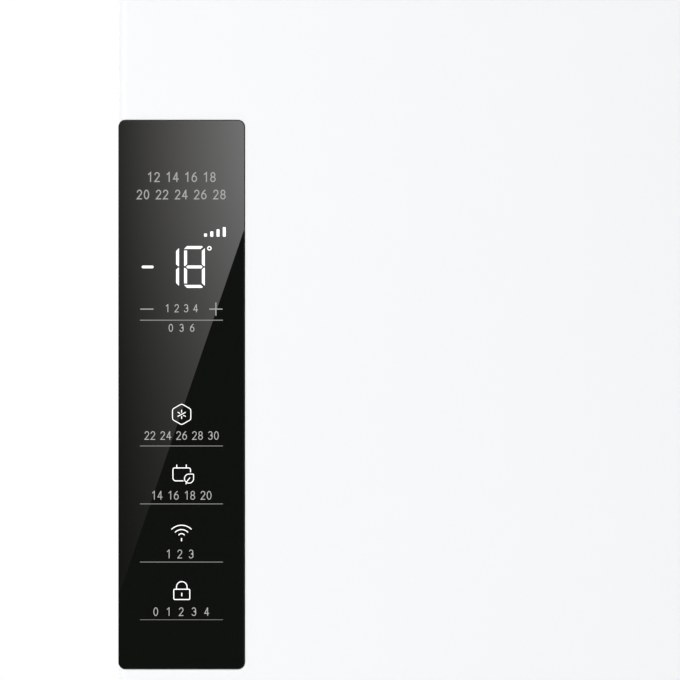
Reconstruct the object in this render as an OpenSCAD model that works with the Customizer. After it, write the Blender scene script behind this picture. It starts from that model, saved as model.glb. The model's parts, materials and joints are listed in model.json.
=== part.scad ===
// Upright freezer: a foamed steel cabinet with one full-height door that carries a touch display on its
// free edge, drawers and flap compartments on glass shelves, and a machine space at the rear.
// Millimetres. X points to the hinge side, Y to the rear and Z up. The origin is on the floor, under
// the middle of the freezer.

/* [Cabinet] */
// Width of the cabinet and of the door
body_w = 595; // [575:5:700]
// Height from the floor to the top of the hinge cover
body_h = 1655; // [1500:5:1900]
// Depth from the display glass to the rear edge
body_d = 655; // [630:5:740]
// Thickness of the insulated side walls
side_wall = 58; // [52:1:66]
// Thickness of the insulated ceiling
top_wall = 60; // [50:1:80]
// Thickness of the insulated rear wall
back_wall = 60; // [50:1:70]
// Thickness of the insulated floor
floor_wall = 58; // [52:1:75]
// Thickness of the painted steel sheet
sheet_t = 0.8; // [0.5:0.1:1.2]
// Thickness of the formed plastic liners
liner_t = 2; // [1:0.5:3]
// Radius of the cabinet's folded top edges
fold_r = 3; // [2:0.5:6]
// Radius of the liner's long inside corners
liner_r = 18; // [10:1:20]
// Width of the flange folded round the cabinet's front
flange_w = 24; // [20:1:30]
// Gap under the cabinet, which the feet and rollers bridge
ground_gap = 30; // [28:1:40]
// Height of the steel frame under the foamed floor
frame_h = 32; // [30:1:45]
// Height of the hinge cover on top of the cabinet
cover_h = 20; // [16:1:30]

/* [Machine space] */
// Depth of the machine space at the rear bottom
machine_d = 205; // [195:1:220]
// Height of the machine space over the gap under the cabinet
machine_h = 215; // [200:1:240]
// Thickness of the insulation over and in front of the machine space
step_wall = 52; // [40:1:60]
// Depth of the air duct in front of the rear wall
duct_d = 72; // [68:1:80]
// Radius of the compressor's can
can_r = 72; // [60:1:76]
// Height of the compressor's can
can_h = 132; // [110:1:140]
// Radius of the refrigerant tubes
tube_r = 3; // [2:0.5:3.5]

/* [Door] */
// Thickness of the door
door_t = 62; // [56:1:75]
// Gap between the closed door and the cabinet, filled by the gasket
gasket_gap = 12; // [11:0.5:14]
// Radius of the door's long front edges
door_r = 4; // [2:0.5:8]
// Distance of the hinge axis from the side of the door
hinge_inset = 12; // [11:0.5:16]
// Distance of the hinge axis from the door's inner plane
hinge_back = 26; // [20:1:34]
// Radius of the hinge pins
hinge_pin_r = 5; // [4:0.5:5.5]
// Height of the raised dyke on the door's liner
dyke_h = 10; // [6:0.5:10]

/* [Display] */
// Width of the display glass
panel_w = 59.5; // [50:0.5:80]
// Height of the display glass
panel_h = 259; // [248:1:300]
// Radius of the display glass's corners
panel_r = 3; // [1:0.5:6]
// Height of the glass's top edge over the floor
panel_top_z = 1330; // [1000:5:1400]
// Thickness of the display glass
glass_t = 3; // [2:0.5:4]
// How far the glass stands proud of the door
glass_proud = 0.5; // [0:0.1:1]
// Depth of the display housing behind the door's front
housing_d = 13; // [11:0.5:15]

/* [Grip] */
// Length of the finger recess in the door's free edge
grip_len = 400; // [200:5:600]
// Width of the recess across the door's thickness
grip_w = 26; // [20:1:28]
// Depth of the recess into the door
grip_depth = 30; // [22:1:40]
// Height of the middle of the recess over the floor
grip_z = 1120; // [900:5:1200]

/* [Compartments] */
// Gap between a drawer's rim and the liner's wall on each side
drawer_gap = 8; // [6:0.5:12]
// Set-back of the drawer fronts behind the cabinet's front
drawer_set = 25; // [22:1:32]
// Wall thickness of the drawers
bin_t = 2.2; // [1.6:0.2:3]
// Thickness of the drawers' front panels
front_t = 3; // [2.5:0.5:4]
// How much narrower a drawer's floor is than its rim, on each side
bin_draft = 9; // [6:0.5:14]
// Thickness of the glass shelves
shelf_t = 4; // [3:0.5:6]
// Height of the ledges that carry the shelves
ledge_h = 8; // [6:1:12]
// Width of those ledges
ledge_w = 12; // [9:1:16]
// Thickness of the flap doors
flap_t = 3; // [2:0.5:4]

/* [Feet and rollers] */
// Radius of the levelling feet's discs
foot_r = 18; // [14:1:20]
// Radius of the levelling feet's threaded stems
stem_r = 5; // [4:0.5:6]
// Width of the rear rollers
roller_w = 14; // [10:1:20]
// Radius of the rollers' axles
axle_r = 3; // [2:0.5:4]
// Distance of the feet and rollers from the cabinet's sides
foot_inset = 45; // [40:1:70]

/* [Hidden] */
$fn = 48;
DRAWERS = 5;
FLAPS = 2;
SHELVES = 6;

// Clearances that the fits share
running_gap = 0.1;
seat_gap = 0.3;
panel_gap = 0.4;
over = 1;

// Planes across the depth
half_w = body_w / 2;
glass_y = -body_d / 2;
door_y0 = glass_y + glass_proud;
door_y1 = door_y0 + door_t;
case_y0 = door_y1 + gasket_gap;
case_y1 = body_d / 2;
rear_recess = 6;
back_y = case_y1 - rear_recess;
cavity_y1 = back_y - back_wall;
duct_y = cavity_y1 - duct_d;
machine_y = case_y1 - machine_d;
step_y = machine_y - step_wall;
drawer_y = case_y0 + drawer_set;

// Levels over the floor
base_z = ground_gap + frame_h;
floor_z = base_z + floor_wall;
case_z1 = body_h - cover_h;
ceiling_z = case_z1 - top_wall;
machine_z1 = ground_gap + machine_h;
step_z = machine_z1 + step_wall;
cavity_x = half_w - side_wall;

// Sheet metal and liner details
rail_t = 2;
pan_t = 1;
panel_sheet_t = 1;
rear_flange_w = 14;
rim_lap = 6;
rim_drop = 34;
rim_y = case_y0 + sheet_t;
duct_t = 2.5;
duct_gap = 1;

// Shelf levels: the first shelf lies just over the step, and the rest share the height left
first_gap = ledge_h;
first_level = step_z + first_gap;
pitch = (ceiling_z - first_level) / SHELVES;
function level(k) = round(first_level + (k - 1) * pitch);

// Shelf trims and the ledges behind them
trim_lip = 2;
trim_under = 3;
trim_d = 14;
shelf_y = drawer_y + front_t;
grip_block_d = 17;
ledge_y = drawer_y + grip_block_d + 2;
shelf_side_gap = 2;
shelf_rear_gap = 3;

// Drawers
front_x = cavity_x - drawer_gap;
front_r = 8;
front_over = 1.5;
front_under = 2.5;
groove_r = 12;
groove_h = 34;
bin_top_gap = 4;
bin_lift = 2;
bin_rear_gap = 6;
skid_w = 5;
skid_in = 60;
skid_x = front_x - skid_in;
rim_w = 2;
rim_h = 3;
vent_count = 8;
vent_w = 26;
vent_h = 6;
vent_drop = 24;

// Flap doors and the sockets that hold their pins
flap_pin_r = 3;
barrel_r = 5.5;
flap_pin_drop = 8;
flap_end_gap = 0.7;
socket_w = drawer_gap;
socket_r = 8;
socket_gap = 1;
flap_pin_in = 5;
flap_groove_r = 10;
flap_block_h = 28;
flap_block_d = 14;

// Door parts
door_z0 = base_z + 4;
door_z1 = case_z1 - 3;
cap_lip = 2;
cap_h = 16;
lip_w = 10;
liner_flange_y = door_y1 - sheet_t;
foam_door_y1 = liner_flange_y - liner_t;
dyke_in = 20;
dyke_w = 34;
dyke_r = 14;
field_h = 4;
gasket_in = 14;
gasket_w = 18;
gasket_base = 3.5;
gasket_head = 4.5;
gasket_head_in = 1;
gasket_waist_in = 4.5;

// Hinges
hinge_x = half_w - hinge_inset;
hinge_y = door_y1 - hinge_back;
hinge_cover_in = 1;
hinge_cover_t = 2;
nose_r = hinge_inset - hinge_cover_in - hinge_cover_t - 0.5;
bracket_w = 64;
bracket_d = 50;
bracket_t = 3;
lower_bracket_t = 4;
pin_in = 13;
pin_head_r = 8;
pin_head_h = 2;
bush_r = hinge_pin_r + 2.4;
bush_flange_r = bush_r + 2;
bush_flange_h = 1.5;
bush_len = 14;
washer_gap = 0.2;
lower_plate_z1 = door_z0 - 3;
hinge_cover_r = 8;
hinge_cover_d = 60;
hinge_cover_w = 78;

// Screws
screw_r = 2.4;
screw_head_r = 4.5;
screw_head_h = 2.5;
screw_len = 14;
cover_screw_len = 5;
upper_screws = [
  [hinge_x - bracket_w + nose_r + 8, case_y0 + 16],
  [hinge_x - bracket_w + nose_r + 8, case_y0 + bracket_d - 10],
  [hinge_x - 6, case_y0 + bracket_d - 10]
];
lower_screws_x = [hinge_x - 44, hinge_x - 22, hinge_x];
lower_screws_z = (ground_gap + lower_plate_z1) / 2 - 1;
cover_screws_x = [-half_w + 30, -half_w / 3, half_w / 3, half_w - 30];

// Display
panel_x0 = -half_w;
panel_x1 = panel_x0 + panel_w;
panel_z1 = panel_top_z;
panel_z0 = panel_z1 - panel_h;
glass_back_y = glass_y + glass_t;
housing_y1 = door_y0 + housing_d;
housing_wall = 2;
housing_rim = 4;
board_t = 1.6;
post_r = 2.5;
post_h = 2;
board_in = 6;
digit_drop = 69;
icon_drops = [138.5, 166.8, 193.7, 221.6];

// Grip recess, with a hook towards the front that the fingers pull on
grip_wall = 2;
grip_r = 8;
grip_gap = 0.2;
grip_mouth = 9;
grip_hook = 5;
grip_y0 = housing_y1 + grip_hook + 4;
grip_y1 = grip_y0 + grip_w;
grip_z0 = grip_z - grip_len / 2;
grip_z1 = grip_z + grip_len / 2;

// Feet, rollers and their frame
foot_x = half_w - foot_inset;
foot_y = case_y0 + 22;
foot_disc_h = 9;
foot_nut_h = 7;
boss_r = stem_r + 5;
boss_h = 16;
stem_top = ground_gap + boss_h + 4;
rail_d = 42;
roller_clear = 4;
roller_r = (ground_gap - roller_clear) / 2;
roller_y = case_y1 - 45;
cheek_t = 2;
cheek_gap = 0.5;
cheek_half = 12;
tray_t = 1.5;
tray_flange_h = 12;
tray_z1 = ground_gap + tray_t;
cover_screws_z = tray_z1 + tray_flange_h / 2;
machine_cover_t = 1.5;
machine_cover_y = back_y - machine_cover_t;

// Evaporator, tray, heater and fan in the air duct
duct_mid_y = duct_y + duct_t + (cavity_y1 - duct_y - duct_t) / 2;
coil_margin = 59.5;
coil_half_w = cavity_x - coil_margin;
coil_half_d = 24;
coil_z0 = step_z + 34;
coil_h = 176;
fin_count = 24;
fin_t = 1;
coil_rows = 3;
coil_tube_r = 4;
coil_row_step = 56;
coil_col_half = 13;
drip_wall = 1.5;
drip_h = 26;
drip_half_d = 30;
drain_r = 7;
drain_wall = 2;
spout_len = 22;
heater_r = 4;
heater_cap_r = 6;
heater_half = coil_half_w - 12;
heater_cap_len = 20;
heater_cap_x = heater_half - 8;
heater_z = step_z + 20;
cradle_half = 5;
coil_bend = 8;
coil_end_x = coil_half_w + 12;
coil_row_z = coil_z0 + 32;
suction_x = coil_end_x;
suction_y = duct_mid_y - coil_col_half;
capillary_r = 1.2;
capillary_x = coil_end_x + coil_tube_r + capillary_r + 2;
capillary_y = duct_mid_y + coil_col_half;
drip_half_w = capillary_x + capillary_r + drip_wall + 2;
fan_level = 5;
fan_z = level(fan_level) + pitch / 2;
fan_r = 52;
fan_hub_r = 15;
fan_h = 18;
fan_gap = 5;
fan_clear = 3;
fan_y0 = duct_y + duct_t + fan_clear;
blades = 5;
blade_t = 1.8;
blade_pitch = 34;
blade_bow_r = 44;
shaft_r = 2;
shaft_in = 2;
motor_r = 20;
motor_h = 22;
motor_ring_gap = 2;
motor_ring_t = 5;
motor_arm_w = 6;
motor_arm_t = 3;
guard_rings = 4;
guard_t = 2;
guard_bar = 2.4;

// Compressor and what stands round it
can_x = 60;
can_y = suction_y;
mount_r = 11;
mount_h = 14;
mount_neck_r = 7;
stud_r = 4;
stud_h = 24;
mount_dx = 84;
mount_dy = 50;
foot_plate_t = 3;
can_z0 = tray_z1 + mount_h + foot_plate_t;
can_z1 = can_z0 + can_h;
can_edge_r = 32;
seam_r = can_r + 2.5;
seam_h = 5;
starter_w = 46;
starter_h = 58;
starter_d = 30;
starter_wall = 2;
starter_z = can_z0 + 36;
pan_z0 = can_z1 + seat_gap;
pan_h = 26;
pan_half_w = 115;
pan_half_d = 66;
pan_wall = 2;
pan_r = 10;

// Condenser loops inside the side walls, with tails down into the machine space
tube_gap = 0.2;
loop_x = half_w - sheet_t - tube_gap - tube_r;
loop_pocket = 2 * tube_r + 1;
loop_step = 96;
loop_back = 40;
loop_y = back_y - loop_back;
loop_margin = 150;
loop_top = case_z1 - loop_margin;
loop_foot = 78;
loop_bottom = machine_z1 + loop_foot;
loop_turn = 42;
loop_return = machine_z1 + loop_turn;
loop_tail_lift = 110;
loop_tail_z = ground_gap + loop_tail_lift;
loop_joint_lift = 22;
loop_joint_z = loop_tail_z + loop_joint_lift;
loop_tail_in = 34;
loop_tail_y = machine_y + loop_tail_in;
bend_r = 16;
hot_bend = 6;
hot_rise = 40;
hot_in = 8;
hot_y = machine_y + hot_in;
hot_side = 30;
hot_x = loop_x - hot_side;
suction_drop = 14;
thin_run = 12;
thin_drop = 13;
drier_side = 40;
drier_x = -loop_x + drier_side;
drier_in = 80;
drier_y = machine_y + drier_in;
drier_r = 9;
drier_len = 70;

// Cable gland in the machine cover
gland_in = 97.5;
gland_lift = 120;
gland_x = gland_in - half_w;
gland_z = ground_gap + gland_lift;
gland_bore_r = 4.2;
gland_neck_r = 8;
gland_flange_r = 11;
gland_flange_t = 2;
gland_tail = 12;

// Shape helpers
module span(low, high) {
  translate(low) cube(high - low);
}

module plate_x(x0, x1) {
  translate([x0, 0, 0]) rotate([90, 0, 90]) linear_extrude(x1 - x0) children();
}

module plate_y(y0, y1) {
  translate([0, y1, 0]) rotate([90, 0, 0]) linear_extrude(y1 - y0) children();
}

module plate_z(z0, z1) {
  translate([0, 0, z0]) linear_extrude(z1 - z0) children();
}

module rod_x(r, x0, x1, y, z) {
  translate([x0, y, z]) rotate([0, 90, 0]) cylinder(r = r, h = x1 - x0);
}

module rod_y(r, y0, y1, x, z) {
  translate([x, y1, z]) rotate([90, 0, 0]) cylinder(r = r, h = y1 - y0);
}

module rod_z(r, z0, z1, x, y) {
  translate([x, y, z0]) cylinder(r = r, h = z1 - z0);
}

module rect(low, high) {
  translate(low) square(high - low);
}

module round_rect(low, high, r) {
  rect([low.x + r, low.y], [high.x - r, high.y]);
  rect([low.x, low.y + r], [high.x, high.y - r]);
  for (x = [low.x + r, high.x - r], y = [low.y + r, high.y - r])
    translate([x, y]) circle(r);
}

module both_sides() {
  children();
  mirror([1, 0, 0]) children();
}

function unit(v) = v / norm(v);
function side_of(d) = abs(d.z) < 0.9 ? unit(cross([0, 0, 1], d)) : unit(cross([1, 0, 0], d));
function frame_of(x, y, z, at) = [
  [x.x, y.x, z.x, at.x],
  [x.y, y.y, z.y, at.y],
  [x.z, y.z, z.z, at.z],
  [0, 0, 0, 1]
];

module stick(a, b, r) {
  d = unit(b - a);
  s = side_of(d);
  multmatrix(frame_of(s, cross(d, s), d, a)) cylinder(r = r, h = norm(b - a));
}

module elbow(corner, d_in, d_out, bend, r) {
  centre = corner - bend * d_in + bend * d_out;
  multmatrix(frame_of(-d_out, d_in, cross(-d_out, d_in), centre))
    rotate_extrude(angle = 90) translate([bend, 0]) circle(r);
}

// Round tube through points joined by square turns
module tube(points, r, bend) {
  last = len(points) - 1;
  for (i = [0:last - 1]) {
    d = unit(points[i + 1] - points[i]);
    stick(points[i] + (i > 0 ? bend : 0) * d, points[i + 1] - (i < last - 1 ? bend : 0) * d, r);
  }
  for (i = [1:1:last - 1])
    elbow(points[i], unit(points[i] - points[i - 1]), unit(points[i + 1] - points[i]), bend, r);
}

// Cabinet outline seen from the front, drawn in by inset, with its foot at bottom
module case_outline(inset, bottom) {
  r = fold_r - inset;
  half = half_w - inset;
  top = case_z1 - inset;
  rect([-half, bottom], [half, top - r]);
  rect([-half + r, bottom], [half - r, top]);
  for (s = [-1, 1]) translate([s * (half - r), top - r]) circle(r);
}

module case_flange(y, width) {
  plate_y(y, y + sheet_t) difference() {
    case_outline(0, ground_gap);
    rect([-half_w + width, ground_gap - over], [half_w - width, case_z1 - width]);
  }
}

module screw_down(x, y, z) {
  rod_z(screw_r, z - screw_len, z, x, y);
  rod_z(screw_head_r, z, z + screw_head_h, x, y);
}

module screw_in(x, z, y, length) {
  rod_y(screw_r, y, y + length, x, z);
  rod_y(screw_head_r, y - screw_head_h, y, x, z);
}

module upper_screw_holes() {
  for (p = upper_screws)
    rod_z(screw_r + running_gap, case_z1 - screw_len - over, case_z1 + bracket_t + over, p.x, p.y);
}

module lower_screw_holes() {
  for (x = lower_screws_x)
    rod_y(screw_r + running_gap, case_y0 - lower_bracket_t - over, case_y0 + screw_len, x, lower_screws_z);
}

module cabinet_wrap() {
  color("white") difference() {
    union() {
      difference() {
        plate_y(case_y0, case_y1) case_outline(0, ground_gap);
        plate_y(case_y0 - over, case_y1 + over) case_outline(sheet_t, ground_gap - over);
      }
      case_flange(case_y0, flange_w);
      case_flange(case_y1 - sheet_t, rear_flange_w);
    }
    upper_screw_holes();
    lower_screw_holes();
  }
}

// The cold space, grown outwards by grow
module cavity_outline(grow) {
  round_rect([-cavity_x - grow, floor_z - grow], [cavity_x + grow, ceiling_z + grow], liner_r + grow);
}

module cavity(y0, grow) {
  difference() {
    plate_y(y0, cavity_y1 + grow) cavity_outline(grow);
    span([-half_w, step_y + grow, ground_gap], [half_w, case_y1, step_z - grow]);
  }
}

module liner_rim() {
  rim_x = half_w - flange_w + rim_lap;
  plate_y(rim_y, rim_y + liner_t)
    rect([-rim_x, floor_z - rim_drop], [rim_x, case_z1 - flange_w + rim_lap]);
}

module shelf_ledges() {
  nose = ledge_h / 2;
  both_sides() for (k = [1:SHELVES]) {
    span(
      [cavity_x - ledge_w, ledge_y + nose, level(k) - ledge_h],
      [cavity_x + liner_t / 2, duct_y - over, level(k)]
    );
    rod_x(nose, cavity_x - ledge_w, cavity_x + liner_t / 2, ledge_y + nose, level(k) - nose);
  }
}

module floor_drains() {
  rod_z(drain_r + drain_wall + running_gap, ground_gap, step_z + over, 0, duct_mid_y);
  rod_z(tube_r + tube_gap, ground_gap, step_z + over, suction_x, suction_y);
  rod_z(capillary_r + tube_gap, ground_gap, step_z + over, capillary_x, capillary_y);
}

module inner_liner() {
  color("whitesmoke") difference() {
    union() {
      difference() {
        union() {
          cavity(rim_y, liner_t);
          liner_rim();
        }
        cavity(rim_y - over, 0);
      }
      shelf_ledges();
    }
    floor_drains();
  }
}

module loop_pockets() {
  both_sides() span(
    [half_w - sheet_t - loop_pocket, loop_y - 3 * loop_step - 2 * tube_r, machine_z1 - over],
    [half_w, loop_y + 2 * tube_r, loop_top + 2 * tube_r]
  );
}

module foam_core() {
  color("khaki") difference() {
    plate_y(rim_y, back_y - panel_sheet_t) case_outline(sheet_t, base_z + pan_t);
    cavity(rim_y - over, liner_t);
    liner_rim();
    span([-half_w, rim_y - over, ground_gap], [half_w, rim_y + rail_t, floor_z - rim_drop]);
    span([-half_w, machine_y - pan_t, ground_gap], [half_w, case_y1, machine_z1 + pan_t]);
    loop_pockets();
    floor_drains();
    upper_screw_holes();
    lower_screw_holes();
  }
}

module back_panel() {
  bead_w = 26;
  bead_h = 2;
  bead_margin = 70;
  beads = 4;
  color("gainsboro") {
    plate_y(back_y - panel_sheet_t, back_y) case_outline(sheet_t, machine_z1 + pan_t);
    for (i = [0:beads - 1]) {
      x = -half_w + body_w * (i + 0.5) / beads;
      plate_y(back_y - panel_sheet_t, back_y + bead_h)
        round_rect(
          [x - bead_w / 2, machine_z1 + bead_margin],
          [x + bead_w / 2, case_z1 - bead_margin],
          bead_w / 2 - 1
        );
    }
  }
}

// Bent sheet that closes the foam over the frame and round the machine space
module base_pan() {
  side = half_w - sheet_t;
  tails = [[loop_x, loop_y], [loop_x, loop_tail_y], [-loop_x, loop_y], [-loop_x, loop_tail_y]];
  color("silver") difference() {
    plate_x(-side, side) {
      rect([rim_y + rail_t, base_z], [machine_y, base_z + pan_t]);
      rect([machine_y - pan_t, base_z], [machine_y, machine_z1 + pan_t]);
      rect([machine_y - pan_t, machine_z1], [back_y, machine_z1 + pan_t]);
    }
    floor_drains();
    for (p = tails) rod_z(tube_r + over, machine_z1 - over, machine_z1 + pan_t + over, p.x, p.y);
  }
}

// Channel across the front bottom: it takes the feet and the lower hinge
module front_rail() {
  side = half_w - sheet_t;
  color("silver") difference() {
    union() {
      plate_x(-side, side) {
        rect([rim_y, ground_gap], [rim_y + rail_t, floor_z - rim_drop]);
        rect([rim_y, ground_gap], [case_y0 + rail_d, ground_gap + rail_t]);
        rect([rim_y + rail_t, base_z - rail_t], [case_y0 + rail_d, base_z]);
      }
      for (s = [-1, 1]) rod_z(boss_r, ground_gap, ground_gap + boss_h, s * foot_x, foot_y);
    }
    for (s = [-1, 1])
      rod_z(stem_r + running_gap, ground_gap - over, ground_gap + boss_h + over, s * foot_x, foot_y);
    lower_screw_holes();
  }
}

module kick_plate() {
  kick_t = 2;
  kick_d = 12;
  kick_drop = 8;
  kick_top = base_z;
  kick_bottom = ground_gap - kick_drop;
  x1 = hinge_x - bracket_w + nose_r - over;
  slot_w = 34;
  slot_h = 4;
  slot_step = 44;
  slots = 10;
  mid = (x1 - half_w) / 2;
  color("white") difference() {
    union() {
      plate_x(-half_w, x1) {
        rect([case_y0 - kick_d, kick_bottom], [case_y0 - kick_d + kick_t, kick_top]);
        rect([case_y0 - kick_d, kick_top - kick_t], [case_y0, kick_top]);
      }
      for (x = [-half_w, x1 - kick_t])
        span([x, case_y0 - kick_d, kick_bottom], [x + kick_t, case_y0, kick_top]);
    }
    for (i = [0:slots - 1], row = [0, 1]) {
      x = mid + (i - (slots - 1) / 2) * slot_step;
      z = kick_bottom + 12 + row * 10;
      plate_y(case_y0 - kick_d - over, case_y0 - kick_d + kick_t + over)
        round_rect([x - slot_w / 2, z], [x + slot_w / 2, z + slot_h], slot_h / 2 - 0.1);
    }
  }
}

// Floor of the machine space, with ears that hold the rear rollers' axles
module machine_tray() {
  side = half_w - sheet_t;
  ear_x = roller_w / 2 + cheek_gap;
  color("silver") {
    difference() {
      plate_x(-side, side) {
        rect([machine_y, ground_gap], [machine_cover_y, tray_z1]);
        rect([machine_y, ground_gap], [machine_y + tray_t, ground_gap + tray_flange_h]);
        rect([machine_cover_y - tray_t, ground_gap], [machine_cover_y, ground_gap + tray_flange_h]);
      }
      for (x = cover_screws_x)
        rod_y(screw_r + running_gap, machine_cover_y - tray_t - over, back_y, x, cover_screws_z);
    }
    for (sx = [-1, 1], sy = [-1, 1])
      rod_z(stud_r, ground_gap, ground_gap + stud_h, can_x + sx * mount_dx, can_y + sy * mount_dy);
    for (s = [-1, 1]) {
      for (c = [-1, 1]) {
        x = s * foot_x + c * (ear_x + cheek_t / 2);
        plate_x(x - cheek_t / 2, x + cheek_t / 2) {
          translate([roller_y, roller_r]) circle(cheek_half / 2);
          rect([roller_y - cheek_half / 2, roller_r], [roller_y + cheek_half / 2, ground_gap]);
        }
      }
      rod_x(axle_r, s * foot_x - ear_x - cheek_t, s * foot_x + ear_x + cheek_t, roller_y, roller_r);
    }
  }
}

module machine_cover() {
  side = half_w - sheet_t;
  z0 = ground_gap + tray_t;
  z1 = machine_z1;
  slot_w = 40;
  slot_h = 5;
  columns = 8;
  rows = 6;
  column_step = 52;
  row_step = 14;
  rows_z = z1 - 30;
  color("gainsboro") difference() {
    plate_y(machine_cover_y, back_y) rect([-side, z0], [side, z1]);
    for (c = [0:columns - 1], r = [0:rows - 1]) {
      x = (c - (columns - 1) / 2) * column_step;
      z = rows_z - r * row_step;
      if (abs(x - gland_x) > slot_w || abs(z - gland_z) > 2 * row_step)
        plate_y(machine_cover_y - over, back_y + over)
          round_rect([x - slot_w / 2, z - slot_h / 2], [x + slot_w / 2, z + slot_h / 2], slot_h / 2 - 0.1);
    }
    for (x = cover_screws_x)
      rod_y(screw_r + running_gap, machine_cover_y - over, back_y + over, x, cover_screws_z);
    rod_y(gland_neck_r + running_gap, machine_cover_y - over, back_y + over, gland_x, gland_z);
  }
}

// Gland that the mains lead would pass through
module cable_gland() {
  y0 = machine_cover_y - gland_tail;
  y1 = back_y + gland_flange_t;
  color("dimgray") difference() {
    union() {
      rod_y(gland_neck_r, y0, y1, gland_x, gland_z);
      rod_y(gland_flange_r, back_y, y1, gland_x, gland_z);
      rod_y(gland_flange_r, machine_cover_y - gland_flange_t, machine_cover_y, gland_x, gland_z);
    }
    rod_y(gland_bore_r, y0 - over, y1 + over, gland_x, gland_z);
  }
}

// Hinge plate seen from above: a nose round the pin and a flat behind the cabinet's front
module bracket_outline() {
  x0 = hinge_x - bracket_w + nose_r;
  x1 = hinge_x + nose_r;
  y1 = case_y0 + bracket_d;
  translate([hinge_x, hinge_y]) circle(nose_r);
  polygon([[x1, hinge_y], [x1, y1], [x0, y1], [x0, case_y0 + 4], [hinge_x - nose_r, hinge_y]]);
}

module upper_hinge_bracket() {
  color("silver") difference() {
    plate_z(case_z1, case_z1 + bracket_t) bracket_outline();
    rod_z(hinge_pin_r + running_gap, case_z1 - over, case_z1 + bracket_t + over, hinge_x, hinge_y);
    upper_screw_holes();
  }
}

module lower_hinge_bracket() {
  x0 = hinge_x - bracket_w + nose_r;
  x1 = hinge_x + nose_r;
  z0 = lower_plate_z1 - lower_bracket_t;
  color("silver") difference() {
    union() {
      plate_z(z0, lower_plate_z1) intersection() {
        bracket_outline();
        rect([x0, hinge_y - nose_r], [x1, case_y0]);
      }
      span([x0, case_y0 - lower_bracket_t, ground_gap + rail_t], [x1, case_y0, lower_plate_z1]);
    }
    rod_z(hinge_pin_r + running_gap, z0 - over, lower_plate_z1 + over, hinge_x, hinge_y);
    lower_screw_holes();
  }
}

module hinge_pins() {
  lower_z0 = lower_plate_z1 - lower_bracket_t;
  color("gray") {
    rod_z(hinge_pin_r, door_z1 - pin_in, case_z1 + bracket_t, hinge_x, hinge_y);
    rod_z(pin_head_r, case_z1 + bracket_t, case_z1 + bracket_t + pin_head_h, hinge_x, hinge_y);
    rod_z(hinge_pin_r, lower_z0, door_z0 + pin_in, hinge_x, hinge_y);
    rod_z(pin_head_r, lower_z0 - pin_head_h, lower_z0, hinge_x, hinge_y);
    rod_z(bush_flange_r, lower_plate_z1, door_z0 - bush_flange_h - washer_gap, hinge_x, hinge_y);
  }
}

module hinge_cover() {
  x0 = half_w - hinge_cover_in - hinge_cover_w;
  x1 = half_w - hinge_cover_in;
  y0 = hinge_y - nose_r - 4;
  y1 = case_y0 + hinge_cover_d;
  t = hinge_cover_t;
  color("white") difference() {
    plate_z(case_z1, body_h) round_rect([x0, y0], [x1, y1], hinge_cover_r);
    plate_z(case_z1 - over, body_h - t) round_rect([x0 + t, y0 + t], [x1 - t, y1 - t], hinge_cover_r - t);
  }
}

module case_screws() {
  color("silver") {
    for (p = upper_screws) screw_down(p.x, p.y, case_z1 + bracket_t);
    for (x = lower_screws_x) screw_in(x, lower_screws_z, case_y0 - lower_bracket_t, screw_len);
    for (x = cover_screws_x) mirror([0, 1, 0]) screw_in(x, cover_screws_z, -back_y, cover_screw_len);
  }
}

module can() {
  translate([can_x, can_y, can_z0]) rotate_extrude() intersection() {
    round_rect([-can_r, 0], [can_r, can_h], can_edge_r);
    rect([0, 0], [can_r, can_h]);
  }
}

module compressor() {
  color("black") {
    can();
    rod_z(seam_r, can_z0 + can_h * 0.55, can_z0 + can_h * 0.55 + seam_h, can_x, can_y);
    difference() {
      plate_z(can_z0 - foot_plate_t, can_z0) round_rect(
        [can_x - mount_dx - mount_r, can_y - mount_dy - mount_r],
        [can_x + mount_dx + mount_r, can_y + mount_dy + mount_r],
        mount_r - 1
      );
      for (sx = [-1, 1], sy = [-1, 1])
        translate([can_x + sx * mount_dx, can_y + sy * mount_dy])
          rod_z(mount_neck_r, can_z0 - foot_plate_t - over, can_z0 + over, 0, 0);
    }
  }
}

module compressor_mounts() {
  plate_z0 = can_z0 - foot_plate_t;
  color("black") for (sx = [-1, 1], sy = [-1, 1]) {
    x = can_x + sx * mount_dx;
    y = can_y + sy * mount_dy;
    difference() {
      union() {
        rod_z(mount_r, tray_z1, plate_z0, x, y);
        rod_z(mount_neck_r - running_gap, plate_z0, plate_z0 + foot_plate_t + over, x, y);
      }
      rod_z(stud_r + running_gap, tray_z1 - over, can_z0 + 2 * over, x, y);
    }
  }
}

module starter_box() {
  x1 = can_x - can_r + 12;
  x0 = x1 - starter_d - 12;
  wall = starter_wall;
  low = [x0, can_y - starter_w / 2, starter_z];
  high = [x1, can_y + starter_w / 2, starter_z + starter_h];
  color("dimgray") difference() {
    span(low, high);
    rod_z(seam_r + running_gap, can_z0, can_z1, can_x, can_y);
    span(low + [wall, wall, wall], high + [over, -wall, -wall]);
  }
}

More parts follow.
